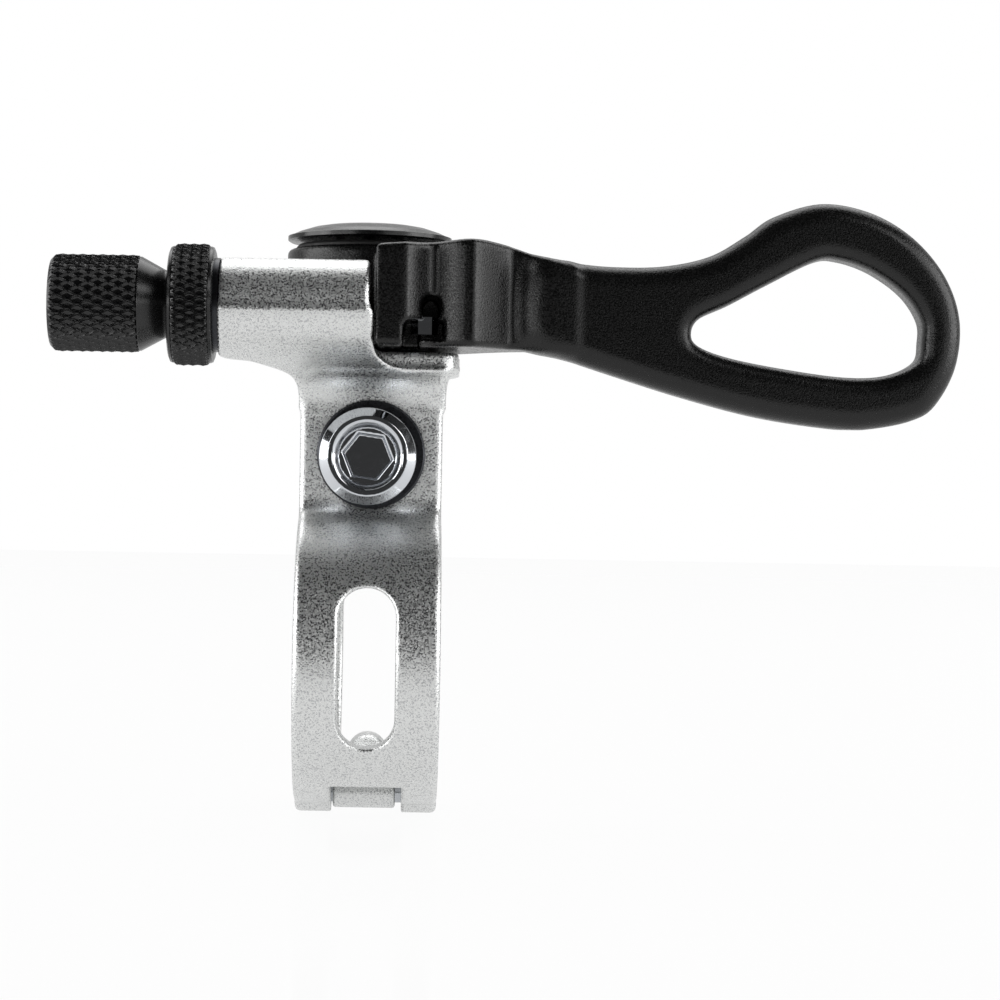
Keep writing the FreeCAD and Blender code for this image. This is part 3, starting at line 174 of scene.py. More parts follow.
class FinishColours(bpy.types.PropertyGroup):
    """Colours of the finishes."""
    # The pit colour is painted shade: the darkening that the blasted pits would cast on each other
    cast_pit_shade: colour("Blasted pits", "Cast aluminium in the pits of its skin", "#BABBBC")
    cast_peak: colour("Blasted peaks", "Cast aluminium on the peaks of its skin", "#E4E5E4")
    coating: colour("Black coating", "Coat of the lever", "#040404")
    anodised: colour("Black anodising", "Adjuster, lock nut and cap", "#060607")
    nickel: colour("Nickel", "Clamp bolt and cable screw", "#C9CCD0")
    oxide: colour("Black oxide", "Washers and pivot bolt", "#3A3B3E")
    bearing: colour("Bearing steel", "Bearings, spacers, pin and spring", "#B9BCC0")
    rubber: colour("Seal rubber", "Dust seal", "#141414")


def satin_cast_aluminium(colours):
    """Die-cast bead-blasted clear-anodised aluminium: soft bright metal, coarse sparkle, painted shade in
    its pits.
    """
    material, tree, shader, place = new_material("satin_cast_aluminium")
    # The blasted grain is drawn about twice as coarse as the real one, to show at this size
    grit = noise(tree, place, 0.17)
    swell = noise(tree, place, 6.0, roughness=0.4)
    relief = bump(tree, swell, 0.35, 0.16, bump(tree, grit, 1.0, 0.035))
    # The pits of the blasted skin get a darker colour as painted shade, where they would shade each other,
    # and its peaks spread their shine more
    pits = ramp(tree, grit, (0.36, 0.50), (0.0, 1.0))
    peaks = ramp(tree, grit, (0.40, 0.62), (0.26, 0.50))
    skin = add(tree, "ShaderNodeMix", {"data_type": "RGBA"}, Factor=pits,
               A=colours.cast_pit_shade, B=colours.cast_peak)
    shader.inputs["Metallic"].default_value = 1.0
    tree.links.new(peaks, shader.inputs["Roughness"])
    tree.links.new(skin.outputs["Result"], shader.inputs["Base Color"])
    tree.links.new(relief, shader.inputs["Normal"])
    return material


def black_powder_coat(colours):
    """Satin black coating over cast aluminium: deep black with a fine grain in its highlights."""
    material, tree, shader, place = new_material("satin_black_coating")
    # The coat's grain is drawn about twice as coarse as the real one, to show at this size
    grain = noise(tree, place, 0.17)
    shader.inputs["Base Color"].default_value = colours.coating
    shader.inputs["Specular IOR Level"].default_value = 0.4
    tree.links.new(ramp(tree, grain, (0.36, 0.64), (0.20, 0.38)), shader.inputs["Roughness"])
    tree.links.new(bump(tree, grain, 0.9, 0.03), shader.inputs["Normal"])
    return material


def black_anodised_aluminium(colours):
    """Turned aluminium, black anodised: satin, with a very fine grain."""
    material, tree, shader, place = new_material("black_anodised_aluminium")
    grain = noise(tree, place, 0.12)
    shader.inputs["Base Color"].default_value = colours.anodised
    tree.links.new(ramp(tree, grain, (0.35, 0.65), (0.20, 0.30)), shader.inputs["Roughness"])
    tree.links.new(bump(tree, grain, 0.35, 0.012), shader.inputs["Normal"])
    return material


def plain_finish(name, colour_value, metallic, grain, detail, roughness, sheen):
    """A smooth finish of one colour, with its sheen varied by a faint haze."""
    material, tree, shader, place = new_material(name)
    haze = noise(tree, place, grain, detail, roughness)
    shader.inputs["Base Color"].default_value = colour_value
    shader.inputs["Metallic"].default_value = metallic
    tree.links.new(ramp(tree, haze, (0.3, 0.7), sheen), shader.inputs["Roughness"])
    return material


def nickel_plated_steel(colours):
    """Steel with bright nickel: mirror-like, with faint polishing haze."""
    return plain_finish("nickel_plated_steel", colours.nickel, 1.0, 0.8, 2.0, 0.6, (0.05, 0.12))


def black_oxide_steel(colours):
    """Blackened steel: dark grey metal with an oily sheen."""
    return plain_finish("black_oxide_steel", colours.oxide, 1.0, 0.3, 2.0, 0.6, (0.24, 0.36))


def ground_bearing_steel(colours):
    """Hardened and ground steel: grey, satin, with fine grinding marks."""
    return plain_finish("ground_bearing_steel", colours.bearing, 1.0, 0.2, 1.0, 0.5, (0.16, 0.3))


def moulded_seal_rubber(colours):
    """Moulded nitrile rubber: matt black with a soft bloom."""
    return plain_finish("moulded_seal_rubber", colours.rubber, 0.0, 0.5, 2.0, 0.6, (0.55, 0.75))


FINISHES = {
    "silver_casting": satin_cast_aluminium,
    "black_coating": black_powder_coat,
    "black_anodised": black_anodised_aluminium,
    "polished_steel": nickel_plated_steel,
    "black_steel": black_oxide_steel,
    "bearing_steel": ground_bearing_steel,
    "seal_rubber": moulded_seal_rubber,
}
made_finishes = {}


def finish(slot):
    """The material of one of the record's slots, made once."""
    if slot not in made_finishes:
        made_finishes[slot] = FINISHES[slot](bpy.context.scene.finish_colours)
    return made_finishes[slot]


# Shapes given by a distance: negative inside the metal, positive outside

def spline(points, closed=True, steps=10):
    """Smooth line through the points, as an array of points."""
    points = np.array(points, float)
    count = len(points)
    share = np.linspace(0, 1, steps, endpoint=False)[:, None]
    line = []
    for i in range(count if closed else count - 1):
        if closed:
            a, b, c, d = (points[(i + k) % count] for k in (-1, 0, 1, 2))
        else:
            a, b, c, d = (points[min(max(i + k, 0), count - 1)] for k in (-1, 0, 1, 2))
        line.append(0.5 * (2 * b + (c - a) * share + (2 * a - 5 * b + 4 * c - d) * share ** 2
                           + (3 * b - a - 3 * c + d) * share ** 3))
    if not closed:
        line.append(points[-1:])
    return np.concatenate(line)


def eased(points, low, high, half):
    """A line through the points, with its corners eased over some steps to each side."""
    reach = np.arange(low, high, 0.05)
    line = np.interp(reach, *zip(*points))
    kernel = np.hanning(2 * half + 1)
    return reach, np.convolve(np.pad(line, half, "edge"), kernel / kernel.sum(), "valid")


def outline_distance(outline, across, up):
    """Signed distance to a closed outline in its plane."""
    nearest = np.full(across.shape, 1e9)
    inside = np.zeros(across.shape, bool)
    for (ax, ay), (bx, by) in zip(outline, np.roll(outline, -1, axis=0)):
        ex, ey = bx - ax, by - ay
        length = ex * ex + ey * ey
        if length == 0:
            continue
        wx, wy = across - ax, up - ay
        share = np.clip((wx * ex + wy * ey) / length, 0, 1)
        np.minimum(nearest, (wx - ex * share) ** 2 + (wy - ey * share) ** 2, out=nearest)
        if ey != 0:
            inside ^= ((ay > up) != (by > up)) & (across < ex * (up - ay) / ey + ax)
    return np.where(inside, -1.0, 1.0) * np.sqrt(nearest)


class OutlineField:
    """Distance to an outline kept on a fine grid and read smoothly between its points."""

    def __init__(self, outline, low, high, step=0.12):
        self.low = np.array(low, float)
        self.step = step
        self.count = np.ceil((np.array(high, float) - self.low) / step).astype(int) + 4
        across = self.low[0] + step * np.arange(self.count[0])
        up = self.low[1] + step * np.arange(self.count[1])
        self.values = outline_distance(outline, *np.meshgrid(across, up, indexing="ij"))

    def __call__(self, across, up):
        across, up = np.broadcast_arrays(across, up)
        cells = []
        weights = []
        for axis, place in enumerate((across, up)):
            spot = np.clip((place - self.low[axis]) / self.step, 1, self.count[axis] - 2.001)
            cell = spot.astype(int)
            t = spot - cell
            cells.append(cell)
            weights.append((-0.5 * t + t * t - 0.5 * t ** 3, 1 - 2.5 * t * t + 1.5 * t ** 3,
                            0.5 * t + 2 * t * t - 1.5 * t ** 3, -0.5 * t * t + 0.5 * t ** 3))
        total = 0.0
        for i in range(4):
            for j in range(4):
                total = total + (weights[0][i] * weights[1][j]
                                 * self.values[cells[0] + i - 1, cells[1] + j - 1])
        return total


def band(value, low, high):
    """Distance to the stretch between two levels."""
    return np.abs(value - (low + high) / 2) - (high - low) / 2


def box(across, up, left, right, low, high):
    """Distance to an upright rectangle in its plane, exact enough near its sides."""
    return np.maximum(band(across, left, right), band(up, low, high))


def slab(flat, height, low, high, radius):
    """An outline made thick between two levels, with its edges rounded."""
    side = flat + radius
    rim = band(height, low, high) + radius
    return (np.minimum(np.maximum(side, rim), 0)
            + np.hypot(np.maximum(side, 0), np.maximum(rim, 0)) - radius)


def blend(a, b, width):
    """Union of two shapes, with a fillet of about this width where they meet."""
    share = np.maximum(width - np.abs(a - b), 0) / width
    return np.minimum(a, b) - share * share * width / 4


def carve(a, b, width):
    """The first shape without the second, with its new edges rounded."""
    return -blend(-a, b, width)


def surface(field, low, high, step):
    """Closed mesh where the field is zero, with each point moved onto the exact surface."""
    axes = [np.arange(low[k] - step * 1.5, high[k] + step * 2.5, step) for k in range(3)]
    grid = np.meshgrid(*axes, indexing="ij", sparse=True)
    values = np.array(np.broadcast_to(field(*grid), [len(a) for a in axes]))
    # The outermost layer counts as outside, so that a shape that leans past the box is closed there
    for k in range(3):
        for side in (0, -1):
            border = [slice(None)] * 3
            border[k] = side
            values[tuple(border)] = np.maximum(values[tuple(border)], step)
    inside = values < 0
    shape = [n - 1 for n in inside.shape]
    total = np.zeros(shape + [3])
    hits = np.zeros(shape)
    corners = [(i, j, k) for i in (0, 1) for j in (0, 1) for k in (0, 1)]

    def part(array, offset):
        return array[tuple(slice(o, o + n) for o, n in zip(offset, shape))]

    for start in corners:
        for axis in range(3):
            if start[axis]:
                continue
            end = tuple(1 if k == axis else start[k] for k in range(3))
            a, b = part(values, start), part(values, end)
            cut = part(inside, start) != part(inside, end)
            share = np.where(cut, a / np.where(cut, a - b, 1), 0)
            hits += cut
            for k in range(3):
                total[..., k] += np.where(cut, start[k] + (share if k == axis else 0), 0)
    used = hits > 0
    numbers = np.full(shape, -1)
    numbers[used] = np.arange(used.sum())
    cell = np.argwhere(used)
    points = np.stack([axes[k][cell[:, k]] + step * (total[used][:, k] / hits[used])
                       for k in range(3)], axis=1)
    faces = []
    for axis in range(3):
        one, two = (axis + 1) % 3, (axis + 2) % 3
        middle = [slice(1, -1)] * 3
        middle[axis] = slice(0, -1)
        ahead = [slice(1, -1)] * 3
        ahead[axis] = slice(1, None)
        first, second = inside[tuple(middle)], inside[tuple(ahead)]
        spot = np.argwhere(first != second)
        spot[:, one] += 1
        spot[:, two] += 1
        ring = []
        for da, db in ((0, 0), (-1, 0), (-1, -1), (0, -1)):
            index = spot.copy()
            index[:, one] += da
            index[:, two] += db
            ring.append(numbers[index[:, 0], index[:, 1], index[:, 2]])
        quad = np.stack(ring, axis=1)
        back = second[first != second]
        quad[back] = quad[back][:, ::-1]
        faces.append(quad)
    faces = np.concatenate(faces)
    # Each point walks along the slope, by less than half a step at a time, until it lies on the surface
    for _ in range(4):
        here = field(*points.T)
        slope = np.zeros(points.shape)
        for k in range(3):
            nudge = np.zeros(3)
            nudge[k] = step * 0.1
            slope[:, k] = (field(*(points + nudge).T) - field(*(points - nudge).T)) / (step * 0.2)
        steep = np.maximum((slope ** 2).sum(axis=1), 0.2)
        move = slope * (here / steep)[:, None]
        length = np.maximum(np.linalg.norm(move, axis=1, keepdims=True), 1e-9)
        points = points - move * np.minimum(1, 0.4 * step / length)
    return points, faces


def mesh_of(name, points, faces):
    """A smooth mesh in metres from points in millimetres."""
    mesh = bpy.data.meshes.new(name)
    mesh.from_pydata((np.asarray(points) * MM).tolist(), [], np.asarray(faces).tolist())
    work = bmesh.new()
    work.from_mesh(mesh)
    bmesh.ops.remove_doubles(work, verts=work.verts, dist=1e-6)
    bmesh.ops.recalc_face_normals(work, faces=work.faces)
    work.to_mesh(mesh)
    work.free()
    mesh.shade_smooth()
    return mesh


# Lever casting

def paddle_outline(s):
    """Neck and loop seen from the front."""
    cx, cz, radius, drop = s.loop_x, s.loop_z, s.loop_radius, s.loop_drop
    neck_x, neck_top, neck_low = s.neck_x, s.neck_top, s.neck_bottom
    run = cx - neck_x

    def on_end(degrees, grow=0.0):
        turn = math.radians(degrees)
        return (cx + (radius + grow) * math.cos(turn), cz + (radius + grow) * math.sin(turn))

    upper = [
        (neck_x - 4.0, neck_top - 2.2),
        (neck_x - 2.8, neck_top + 0.1),
        (neck_x, neck_top + 0.34),
        (neck_x + 0.17 * run, neck_top),
        (neck_x + 0.36 * run, neck_top + 0.12),
        (neck_x + 0.53 * run, neck_top + 1.15),
        (neck_x + 0.66 * run, neck_top + 3.2),
    ]
    end = [on_end(121, 0.37), on_end(98, 0.11), on_end(74, -0.39), on_end(50, -0.57), on_end(26, -0.36),
           on_end(4), on_end(-18, 0.22), on_end(-38, 0.28)]
    lower = [
        (cx + 0.62 * radius, cz - drop + 0.95),
        (cx + 0.30 * radius, cz - drop + 0.09),
        (cx, cz - drop),
        (neck_x + 0.72 * run, cz - drop + 1.0),
        (neck_x + 0.44 * run, cz - drop + 2.85),
        (neck_x + 0.18 * run, neck_low - 1.3),
        (neck_x, neck_low + 0.25),
        (neck_x - 2.8, neck_low + 1.2),
        (neck_x - 4.0, neck_low + 3.0),
    ]
    return spline(upper + end + lower)


def thumb_hole_outline(s):
    """The hole of the loop, pointed at the neck."""
    cx, cz, radius, drop = s.loop_x, s.loop_z, s.loop_radius, s.loop_drop
    arm, start = s.arm_width, s.hole_x
    inner = radius - arm
    low = cz - drop + arm
    run = cx - start
    edge = cx + radius - s.tip_width
    return spline([
        (start, low + 0.80 * arm),
        (start + 0.055 * run, low + 1.08 * arm),
        (start + 0.26 * run, low + 1.36 * arm),
        (start + 0.515 * run, cz + 0.57 * inner),
        (cx - 0.33 * inner, cz + 0.91 * inner),
        (cx + 0.01 * inner, cz + 0.93 * inner),
        (cx + 0.46 * inner, cz + 0.78 * inner),
        (cx + 0.91 * inner, cz + 0.47 * inner),
        (edge - 0.14, cz + 0.11 * inner),
        (edge, cz - 0.19 * inner),
        (edge - 0.47, low + 1.63),
        (cx + 0.69 * inner, low + 0.25),
        (cx + 0.10 * inner, low),
        (start + 0.62 * run, low + 0.75),
        (start + 0.25 * run, low + 1.75),
        (start + 0.045 * run, low + 2.85),
    ])


def block_outline(s, clamp):
    """The anchor block seen from above: the horn, two flutes and a crest, and the run into the neck."""
    left, front = s.horn_left, -s.horn_front
    flute, crest, dip = -s.flute_front, -s.crest_front, -s.dip_front
    horn_end = left + s.horn_width
    neck_x, face = s.neck_x, -s.paddle_front
    back = face + s.paddle_thickness
    hub_x, hub_y, hub = clamp.pivot_x, clamp.pivot_y, s.hub_radius
    valley = (horn_end + s.crest_start) / 2
    ease = 0.3
    front_edge = spline([
        (left, front + ease),
        (left + 0.5 * ease, front + 0.1 * ease),
        (left + 3 * ease, front),
        (horn_end - 2 * ease, front + 0.1 * ease),
        (horn_end + 0.3 * ease, front + 1.5 * ease),
        (valley - 0.8, flute - 1.5 * ease),
        (valley, flute),
        (valley + 0.8, flute - 1.1 * ease),
        (s.crest_start, crest + 0.7 * ease),
        ((s.crest_start + s.crest_end) / 2, crest),
        (s.crest_end, crest + ease),
        (s.dip_start, dip - ease),
        ((s.dip_start + s.dip_end) / 2, dip),
        (s.dip_end, dip - 0.7 * ease),
        (neck_x - 1.4, face + 0.5 * ease),
        (neck_x + 1.0, face + ease),
    ], closed=False)
    back_edge = spline([
        (neck_x + 1.0, back - ease),
        (neck_x - 2.0, back + ease),
        (s.dip_start, back + 0.4 * s.paddle_thickness),
        (hub_x + hub * 1.08, hub_y - 0.1 * hub),
        (hub_x + hub * 0.93, hub_y + hub * 0.3),
    ], closed=False)
    inside = np.array([(hub_x, hub_y), (left, hub_y - 0.5 * hub)])
    return np.concatenate([front_edge, back_edge, inside])


def lever_field(s, clamp):
    """Distance of the whole lever, ready for its surface."""
    low, top = s.lever_low, s.lever_low + s.lever_height
    loop = OutlineField(paddle_outline(s), (8, 20), (62, 49))
    hole = OutlineField(thumb_hole_outline(s), (8, 20), (62, 49))
    block = OutlineField(block_outline(s, clamp), (-12, -13), (24, 19))
    front, back = -s.paddle_front, -s.paddle_front + s.paddle_thickness
    neck_x, neck_top = s.neck_x, s.neck_top
    # The block's roof runs level over the horn and falls away to the neck
    fall = eased([
        (-50, top - 0.75), (s.horn_left, top - 0.75), (s.exit_x, top - 0.35), (neck_x - 9.85, top - 0.05),
        (neck_x - 7.8, top - 0.02), (neck_x - 5.7, top - 0.28), (neck_x - 4.6, top - 0.62),
        (neck_x - 2.7, top - 1.3), (neck_x, neck_top + 0.05), (neck_x + 3.0, neck_top - 0.5),
        (90, neck_top - 0.5),
    ], -20, 80, 20)

    def field(x, y, z):
        bar = carve(slab(loop(x, z), y, front, back, s.arm_round), hole(x, z), s.hole_round)
        body = slab(block(x, y), z, low, np.interp(x, *fall), s.block_round)
        away = np.hypot(x - clamp.pivot_x, y - clamp.pivot_y)
        hub = slab(away - s.hub_radius, z, low, top, s.block_round)
        metal = blend(blend(body, bar, 1.4), hub, 0.5)
        # Bearing seat, bolt passage and the spring's pocket
        seat = np.maximum(away - s.seat_radius, (low - s.lever_gap + s.seat_floor) - z)
        pocket = np.maximum(np.abs(away - s.pocket_radius) - s.pocket_half, z - (low + s.pocket_depth))
        for cut in (seat, away - s.hub_bore, pocket):
            metal = np.maximum(metal, -cut)
        # Cable passage, its oval exit, and the notch with the clamp screw's nest
        passage = np.hypot(y + clamp.cable_front, z - clamp.cable_z) - s.passage_radius
        mouth = 0.9 * (np.hypot((x - s.exit_x) / 0.95, (z - s.exit_z) / 1.3) - 1)
        arch = np.hypot(x - s.notch_x, np.maximum(z - s.notch_top, 0)) - s.notch_half
        nest = np.maximum(np.abs(x - s.nest_x) - s.nest_half, np.abs(z - s.nest_z) - s.nest_rise)
        for cut, width in ((np.maximum(passage, x - s.exit_x), 0.2),
                           (np.maximum(mouth, y + 1.2), 0.3),
                           (np.maximum(arch, y + s.notch_back), 0.3),
                           (slab(nest, y, -14.0, -s.nest_back, 0.1), 0.3)):
            metal = carve(metal, cut, width)
        return metal

    return field


class LeverSizes(bpy.types.PropertyGroup):
    """Sizes of the lever casting in millimetres."""
    loop_x: size("Loop centre X", "Centre of the loop's round end", 45.6)
    loop_z: size("Loop centre Z", "Centre of the loop's round end", 33.5)
    loop_radius: size("Loop radius", "Outside of the round end", 12.1)
    loop_drop: size("Loop drop", "Lowest edge below the centre", 10.05)
    arm_width: size("Arm width", "Width of the loop's arms", 5.1)
    tip_width: size("Tip width", "Width of the loop at its end", 3.86)
    hole_x: size("Hole start", "Left end of the thumb hole", 31.25)
    arm_round: size("Arm rounding", "Rounding of the section", 2.0)
    hole_round: size("Hole rounding", "Rounding of the hole's rim", 1.7)
    paddle_front: size("Loop front", "Front of the loop ahead of the bar", 6.1)
    paddle_thickness: size("Loop thickness", "Depth of neck and loop", 5.2)
    neck_x: size("Neck start", "X where the neck starts", 18.6)
    neck_top: size("Neck top", "Z of the neck's top edge", 39.05)
    neck_bottom: size("Neck bottom", "Z of its lower edge", 29.7)
    lever_low: size("Underside", "Z of the block's underside", 30.7)
    lever_height: size("Block height", "Height of hub and block", 10.55)
    lever_gap: size("Plate gap", "Clearance over the plate", 0.4)
    block_round: size("Block rounding", "Rounding of the block's rims", 0.6)
    horn_left: size("Horn left", "X of the flat beside the tube", 0.25)
    horn_front: size("Horn front", "Front of the horn", 9.8)
    horn_width: size("Horn width", "Width of its flat front", 3.35)
    flute_front: size("First flute", "Its bottom ahead of the bar", 7.3)
    crest_front: size("Crest front", "Crest ahead of the bar", 8.7)
    crest_start: size("Crest left", "X of the crest's left edge", 8.3)
    crest_end: size("Crest right", "X of the crest's right edge", 10.2)
    dip_front: size("Second flute", "Its bottom ahead of the bar", 5.1)
    dip_start: size("Dip left", "X of the dip's left edge", 13.1)
    dip_end: size("Dip right", "X of the dip's right edge", 15.3)
    exit_x: size("Exit X", "Middle of the cable's exit", 5.65)
    exit_z: size("Exit Z", "Middle of the cable's exit", 34.4)
    hub_radius: size("Hub radius", "Hub of the lever", 8.4)
    hub_bore: size("Hub bore", "Radius of the hole through the hub", 4.2)
    seat_radius: size("Bearing seat", "Radius round the bearings", 5.04)
    seat_floor: size("Seat floor", "Its height over the plate", 1.25)
    pocket_radius: size("Spring pocket", "Radius of its middle line", 6.75)
    pocket_half: size("Pocket half width", "Half width of the spring pocket", 0.65)
    pocket_depth: size("Pocket depth", "Depth of the spring pocket", 3.67)
    passage_radius: size("Cable passage", "Radius of the cable passage", 1.25)
    notch_x: size("Notch X", "Middle of the tall notch", 3.7)
    notch_top: size("Notch top", "Z where its arch starts", 32.4)
    notch_half: size("Notch half width", "Half width of the tall notch", 0.82)
    notch_back: size("Notch back", "Its back ahead of the bar", 3.9)
    nest_x: size("Nest X", "Middle of the clamp screw's nest", 5.5)
    nest_z: size("Nest Z", "Middle of the clamp screw's nest", 32.3)
    nest_half: size("Nest half width", "Half width of the nest", 1.45)
    nest_rise: size("Nest half height", "Half height of the nest", 0.95)
    nest_back: size("Nest back", "Its back ahead of the bar", 4.2)
    mesh_step: size("Mesh step", "Distance between mesh points", 0.25)


class DRESS_OT_lever(bpy.types.Operator):
    """Models the black lever casting with its fluted block and open thumb loop"""
    bl_idname = "dress.lever"
    bl_label = "Lever casting"

    def execute(self, context):
        s = context.scene.lever_sizes
        field = lever_field(s, context.scene.casting_sizes)
        field_piece("lever_casting", field, "lever", "thumb_lever", "black_coating", s.mesh_step)
        return {"FINISHED"}


# Silver castings of the clamp, and its bolt

def gusset_outline(s):
    """The gusset under the tube seen from the front: its left sweep and its curved right end."""
    side, low = s.clamp_width / 2, s.plate_low
    sweep = spline([
        (s.tube_left + 0.1, s.cable_z - 0.9),
        (s.tube_left + 0.1, low + 1.6),
        (s.tube_left + 3.3, low + 0.75),
        (s.tube_left + 6.4, low - 0.25),
        (-side - 0.35, low - 1.4),
        (-side + 0.05, low - 2.7),
        (-side + 0.05, low - 3.6),
    ], closed=False)
    curve = spline([
        (3.4, low + 0.05),
        (1.9, low + 0.42),
        (0.8, low + 1.05),
        (0.0, low + 1.8),
        (s.tube_right, low + 2.8),
        (s.tube_right, s.cable_z - 0.9),
    ], closed=False)
    return np.concatenate([sweep, [(side, low - 3.6), (side, low + 0.05)], curve])


def housing_field(s):
    """Distance of the front casting: ring, bolt pad, plate, gusset and cable tube."""
    half = s.clamp_width / 2
    side_view = OutlineField(gusset_outline(s), (s.tube_left - 2, s.plate_low - 6),
                             (half + 3, s.cable_z + 4))
    low, high = s.plate_low, s.plate_low + s.plate_thickness
    # The gusset's front leans out from the pad to the tube
    lean = eased([(low + up, s.pad_front + out) for up, out in (
        (-3.4, -0.6), (-1.9, 0.2), (-0.9, 0.95), (0, 2.0), (0.8, 3.7), (1.6, 4.9), (2.9, 6.25),
        (4.6, 7.2), (6, 7.6))], low - 8, s.cable_z + 8, 15)

    def field(x, y, z):
        around = np.hypot(y, z)
        away = np.hypot(x - s.pivot_x, y - s.pivot_y)
        from_cable = np.hypot(y + s.cable_front, z - s.cable_z)
        from_hinge = np.hypot(y, z + s.hinge)
        ring = np.abs(around - s.bore - s.wall / 2) - s.wall / 2
        pad = box(y, z, -s.pad_front, s.split + 2, 11.5, low + 0.8)
        side_shape = blend(np.maximum(blend(ring, pad, 1.6), y - s.split), from_hinge - s.knuckle, 0.4)
        clamp = slab(side_shape, x, -half, half, s.edge)
        apron = slab(band(x, -half + 0.3, s.apron_right), y, -s.apron_front, s.pivot_y, 1.9)
        plate = slab(blend(away - s.plate_radius, apron, 1.5), z, low, high, 0.3)
        # The plate's lower edge thins out towards its left end
        plate = np.maximum(plate, (-x - 8.4) * 0.55 + (low - z) * 0.85)
        boss = np.maximum(away - s.boss_radius, band(z, low - 3.2, high - 0.5))
        gusset = np.maximum(side_view(x, z), np.maximum(-y - np.interp(z, *lean), y + 1.6))
        tube = slab(from_cable - s.tube_radius, x, s.tube_left, s.tube_right, 0.45)
        web_cut = 2.3 * (1 - np.hypot((x - half - 1.5) / 1.6, (z - low + 3.0) / 3.1))
        web = np.maximum(box(x, z, half - 1.0, half + 1.4, low - 2.9, low + 0.4), web_cut)
        web = slab(web, y, -s.pad_front, s.split, 0.3)
        metal = blend(clamp, blend(plate, web, 0.7), 0.8)
        metal = blend(np.minimum(metal, boss), blend(gusset, tube, 1.6), 0.9)
        window = np.hypot(x, np.maximum(np.abs(z - s.slot_middle) - s.slot_reach, 0)) - s.slot_half
        gap = np.maximum(box(x, z, -s.gap_left, s.gap_right, -30, -s.gap_top), np.abs(y) - 7.9)
        spring = np.hypot(x - s.pivot_x - s.spring_hole_x, y - s.pivot_y) - s.spring_hole
        cuts = [
            (around - s.bore, 0.25),
            (np.maximum(window, y), 0.4),
            (np.maximum(gap, s.bore - 0.1 - around), 0.15),
            (np.hypot(x, z - s.washer_z) - s.bolt_hole + 50 * (np.abs(z - s.washer_z) > 9), 0.15),
            (np.maximum(from_cable - s.seat_bore, x - s.tube_left - s.seat_depth), 0.1),
            (np.maximum(from_cable - s.cable_bore, x), 0.1),
            (away - s.pivot_hole, 0.15),
            (np.maximum(spring, 20 - z), 0.05),
            (from_hinge - s.pin_hole, 0.1),
        ]
        for cut, width in cuts:
            metal = carve(metal, cut, width)
        return metal

    return field


def strap_field(s):
    """Distance of the back casting: half ring, tapped ear, windowed back and middle knuckle."""
    half = s.clamp_width / 2
    ear_flat = OutlineField(spline([
        (-half, 11.6), (0, 11.4), (half, 11.6), (half - 0.1, 13.6), (half - 1.5, 16.8), (4.4, 20.6),
        (3.2, 23.0), (1.2, 24.35), (s.bolt_x, s.bolt_z + s.ear_radius), (-1.8, 24.35), (-3.8, 23.0),
        (-5.0, 20.6), (-half + 1.3, 16.8), (-half + 0.1, 13.6),
    ]), (-9, 9), (9, 27))

    def field(x, y, z):
        around = np.hypot(y, z)
        ring = slab(np.abs(around - s.bore - s.wall / 2) - s.wall / 2, x, -half, half, s.edge)
        ring = np.maximum(ring, s.strap_face - y)
        ear = slab(ear_flat(x, z), y, s.strap_face, s.strap_face + s.ear_thickness, 0.6)
        knuckle = slab(np.hypot(y, z + s.hinge) - s.mid_knuckle, x, -s.mid_left, s.mid_right, 0.3)
        foot = slab(box(y, z, 0, s.strap_face + 0.6, -s.hinge - 0.55 * s.mid_knuckle,
                        -s.hinge + s.mid_knuckle), x, -s.mid_left, s.mid_right, 0.3)
        metal = blend(blend(ring, ear, 0.9), blend(knuckle, foot, 0.3), 0.3)
        window = np.maximum(np.hypot(x, np.maximum(z - s.slot_middle - s.slot_reach, 0)) - s.slot_half,
                            -s.window_foot - z)
        tab = np.hypot(x, z + s.tab_drop) - s.tab_radius
        window = np.maximum(np.maximum(window, -tab), 2 - y)
        tapped = np.maximum(np.hypot(x - s.bolt_x, z - s.bolt_z) - s.tapped_hole, 2 - y)
        pin = np.hypot(y, z + s.hinge) - s.strap_pin_hole
        for cut, width in ((around - s.bore, 0.25), (window, 0.4), (tapped, 0.2), (pin, 0.1)):
            metal = carve(metal, cut, width)
        return metal

    return field


def bolt_field(s, front, end):
    """Distance of the clamp bolt: bevelled head with a stepped hexagon socket, and its shank."""
    def field(x, y, z):
        away = np.hypot(x - s.bolt_x, z - s.bolt_z)
        deep = y - front
        head = np.maximum(away - s.head_radius, band(deep, 0, s.head_height))
        head = np.maximum(head, ((away - s.bevel_start) * 0.9 - deep * 0.8) / 1.2)
        shank = np.maximum(away - s.shank_radius, band(y, front + 1, end))
        turned = np.arctan2(z - s.bolt_z, x - s.bolt_x) + s.hexagon_turn
        sector = np.mod(turned, math.pi / 3) - math.pi / 6
        hexagon = away * np.cos(sector) - s.hexagon_width / 2
        # A cone, a round step and a bevel lead into the socket
        mouth = np.maximum((away - 3.4 + deep) * 0.7, deep - 0.6)
        step = np.maximum(away - s.step_radius, deep - 1.15)
        rim = np.maximum(np.maximum((hexagon + deep - 1.35) * 0.7, deep - 1.8), 1.0 - deep)
        metal = carve(blend(head, shank, 0.2), np.minimum(np.minimum(mouth, step), rim), 0.12)
        return carve(metal, np.maximum(hexagon, deep - s.socket_depth), 0.12)

    return field


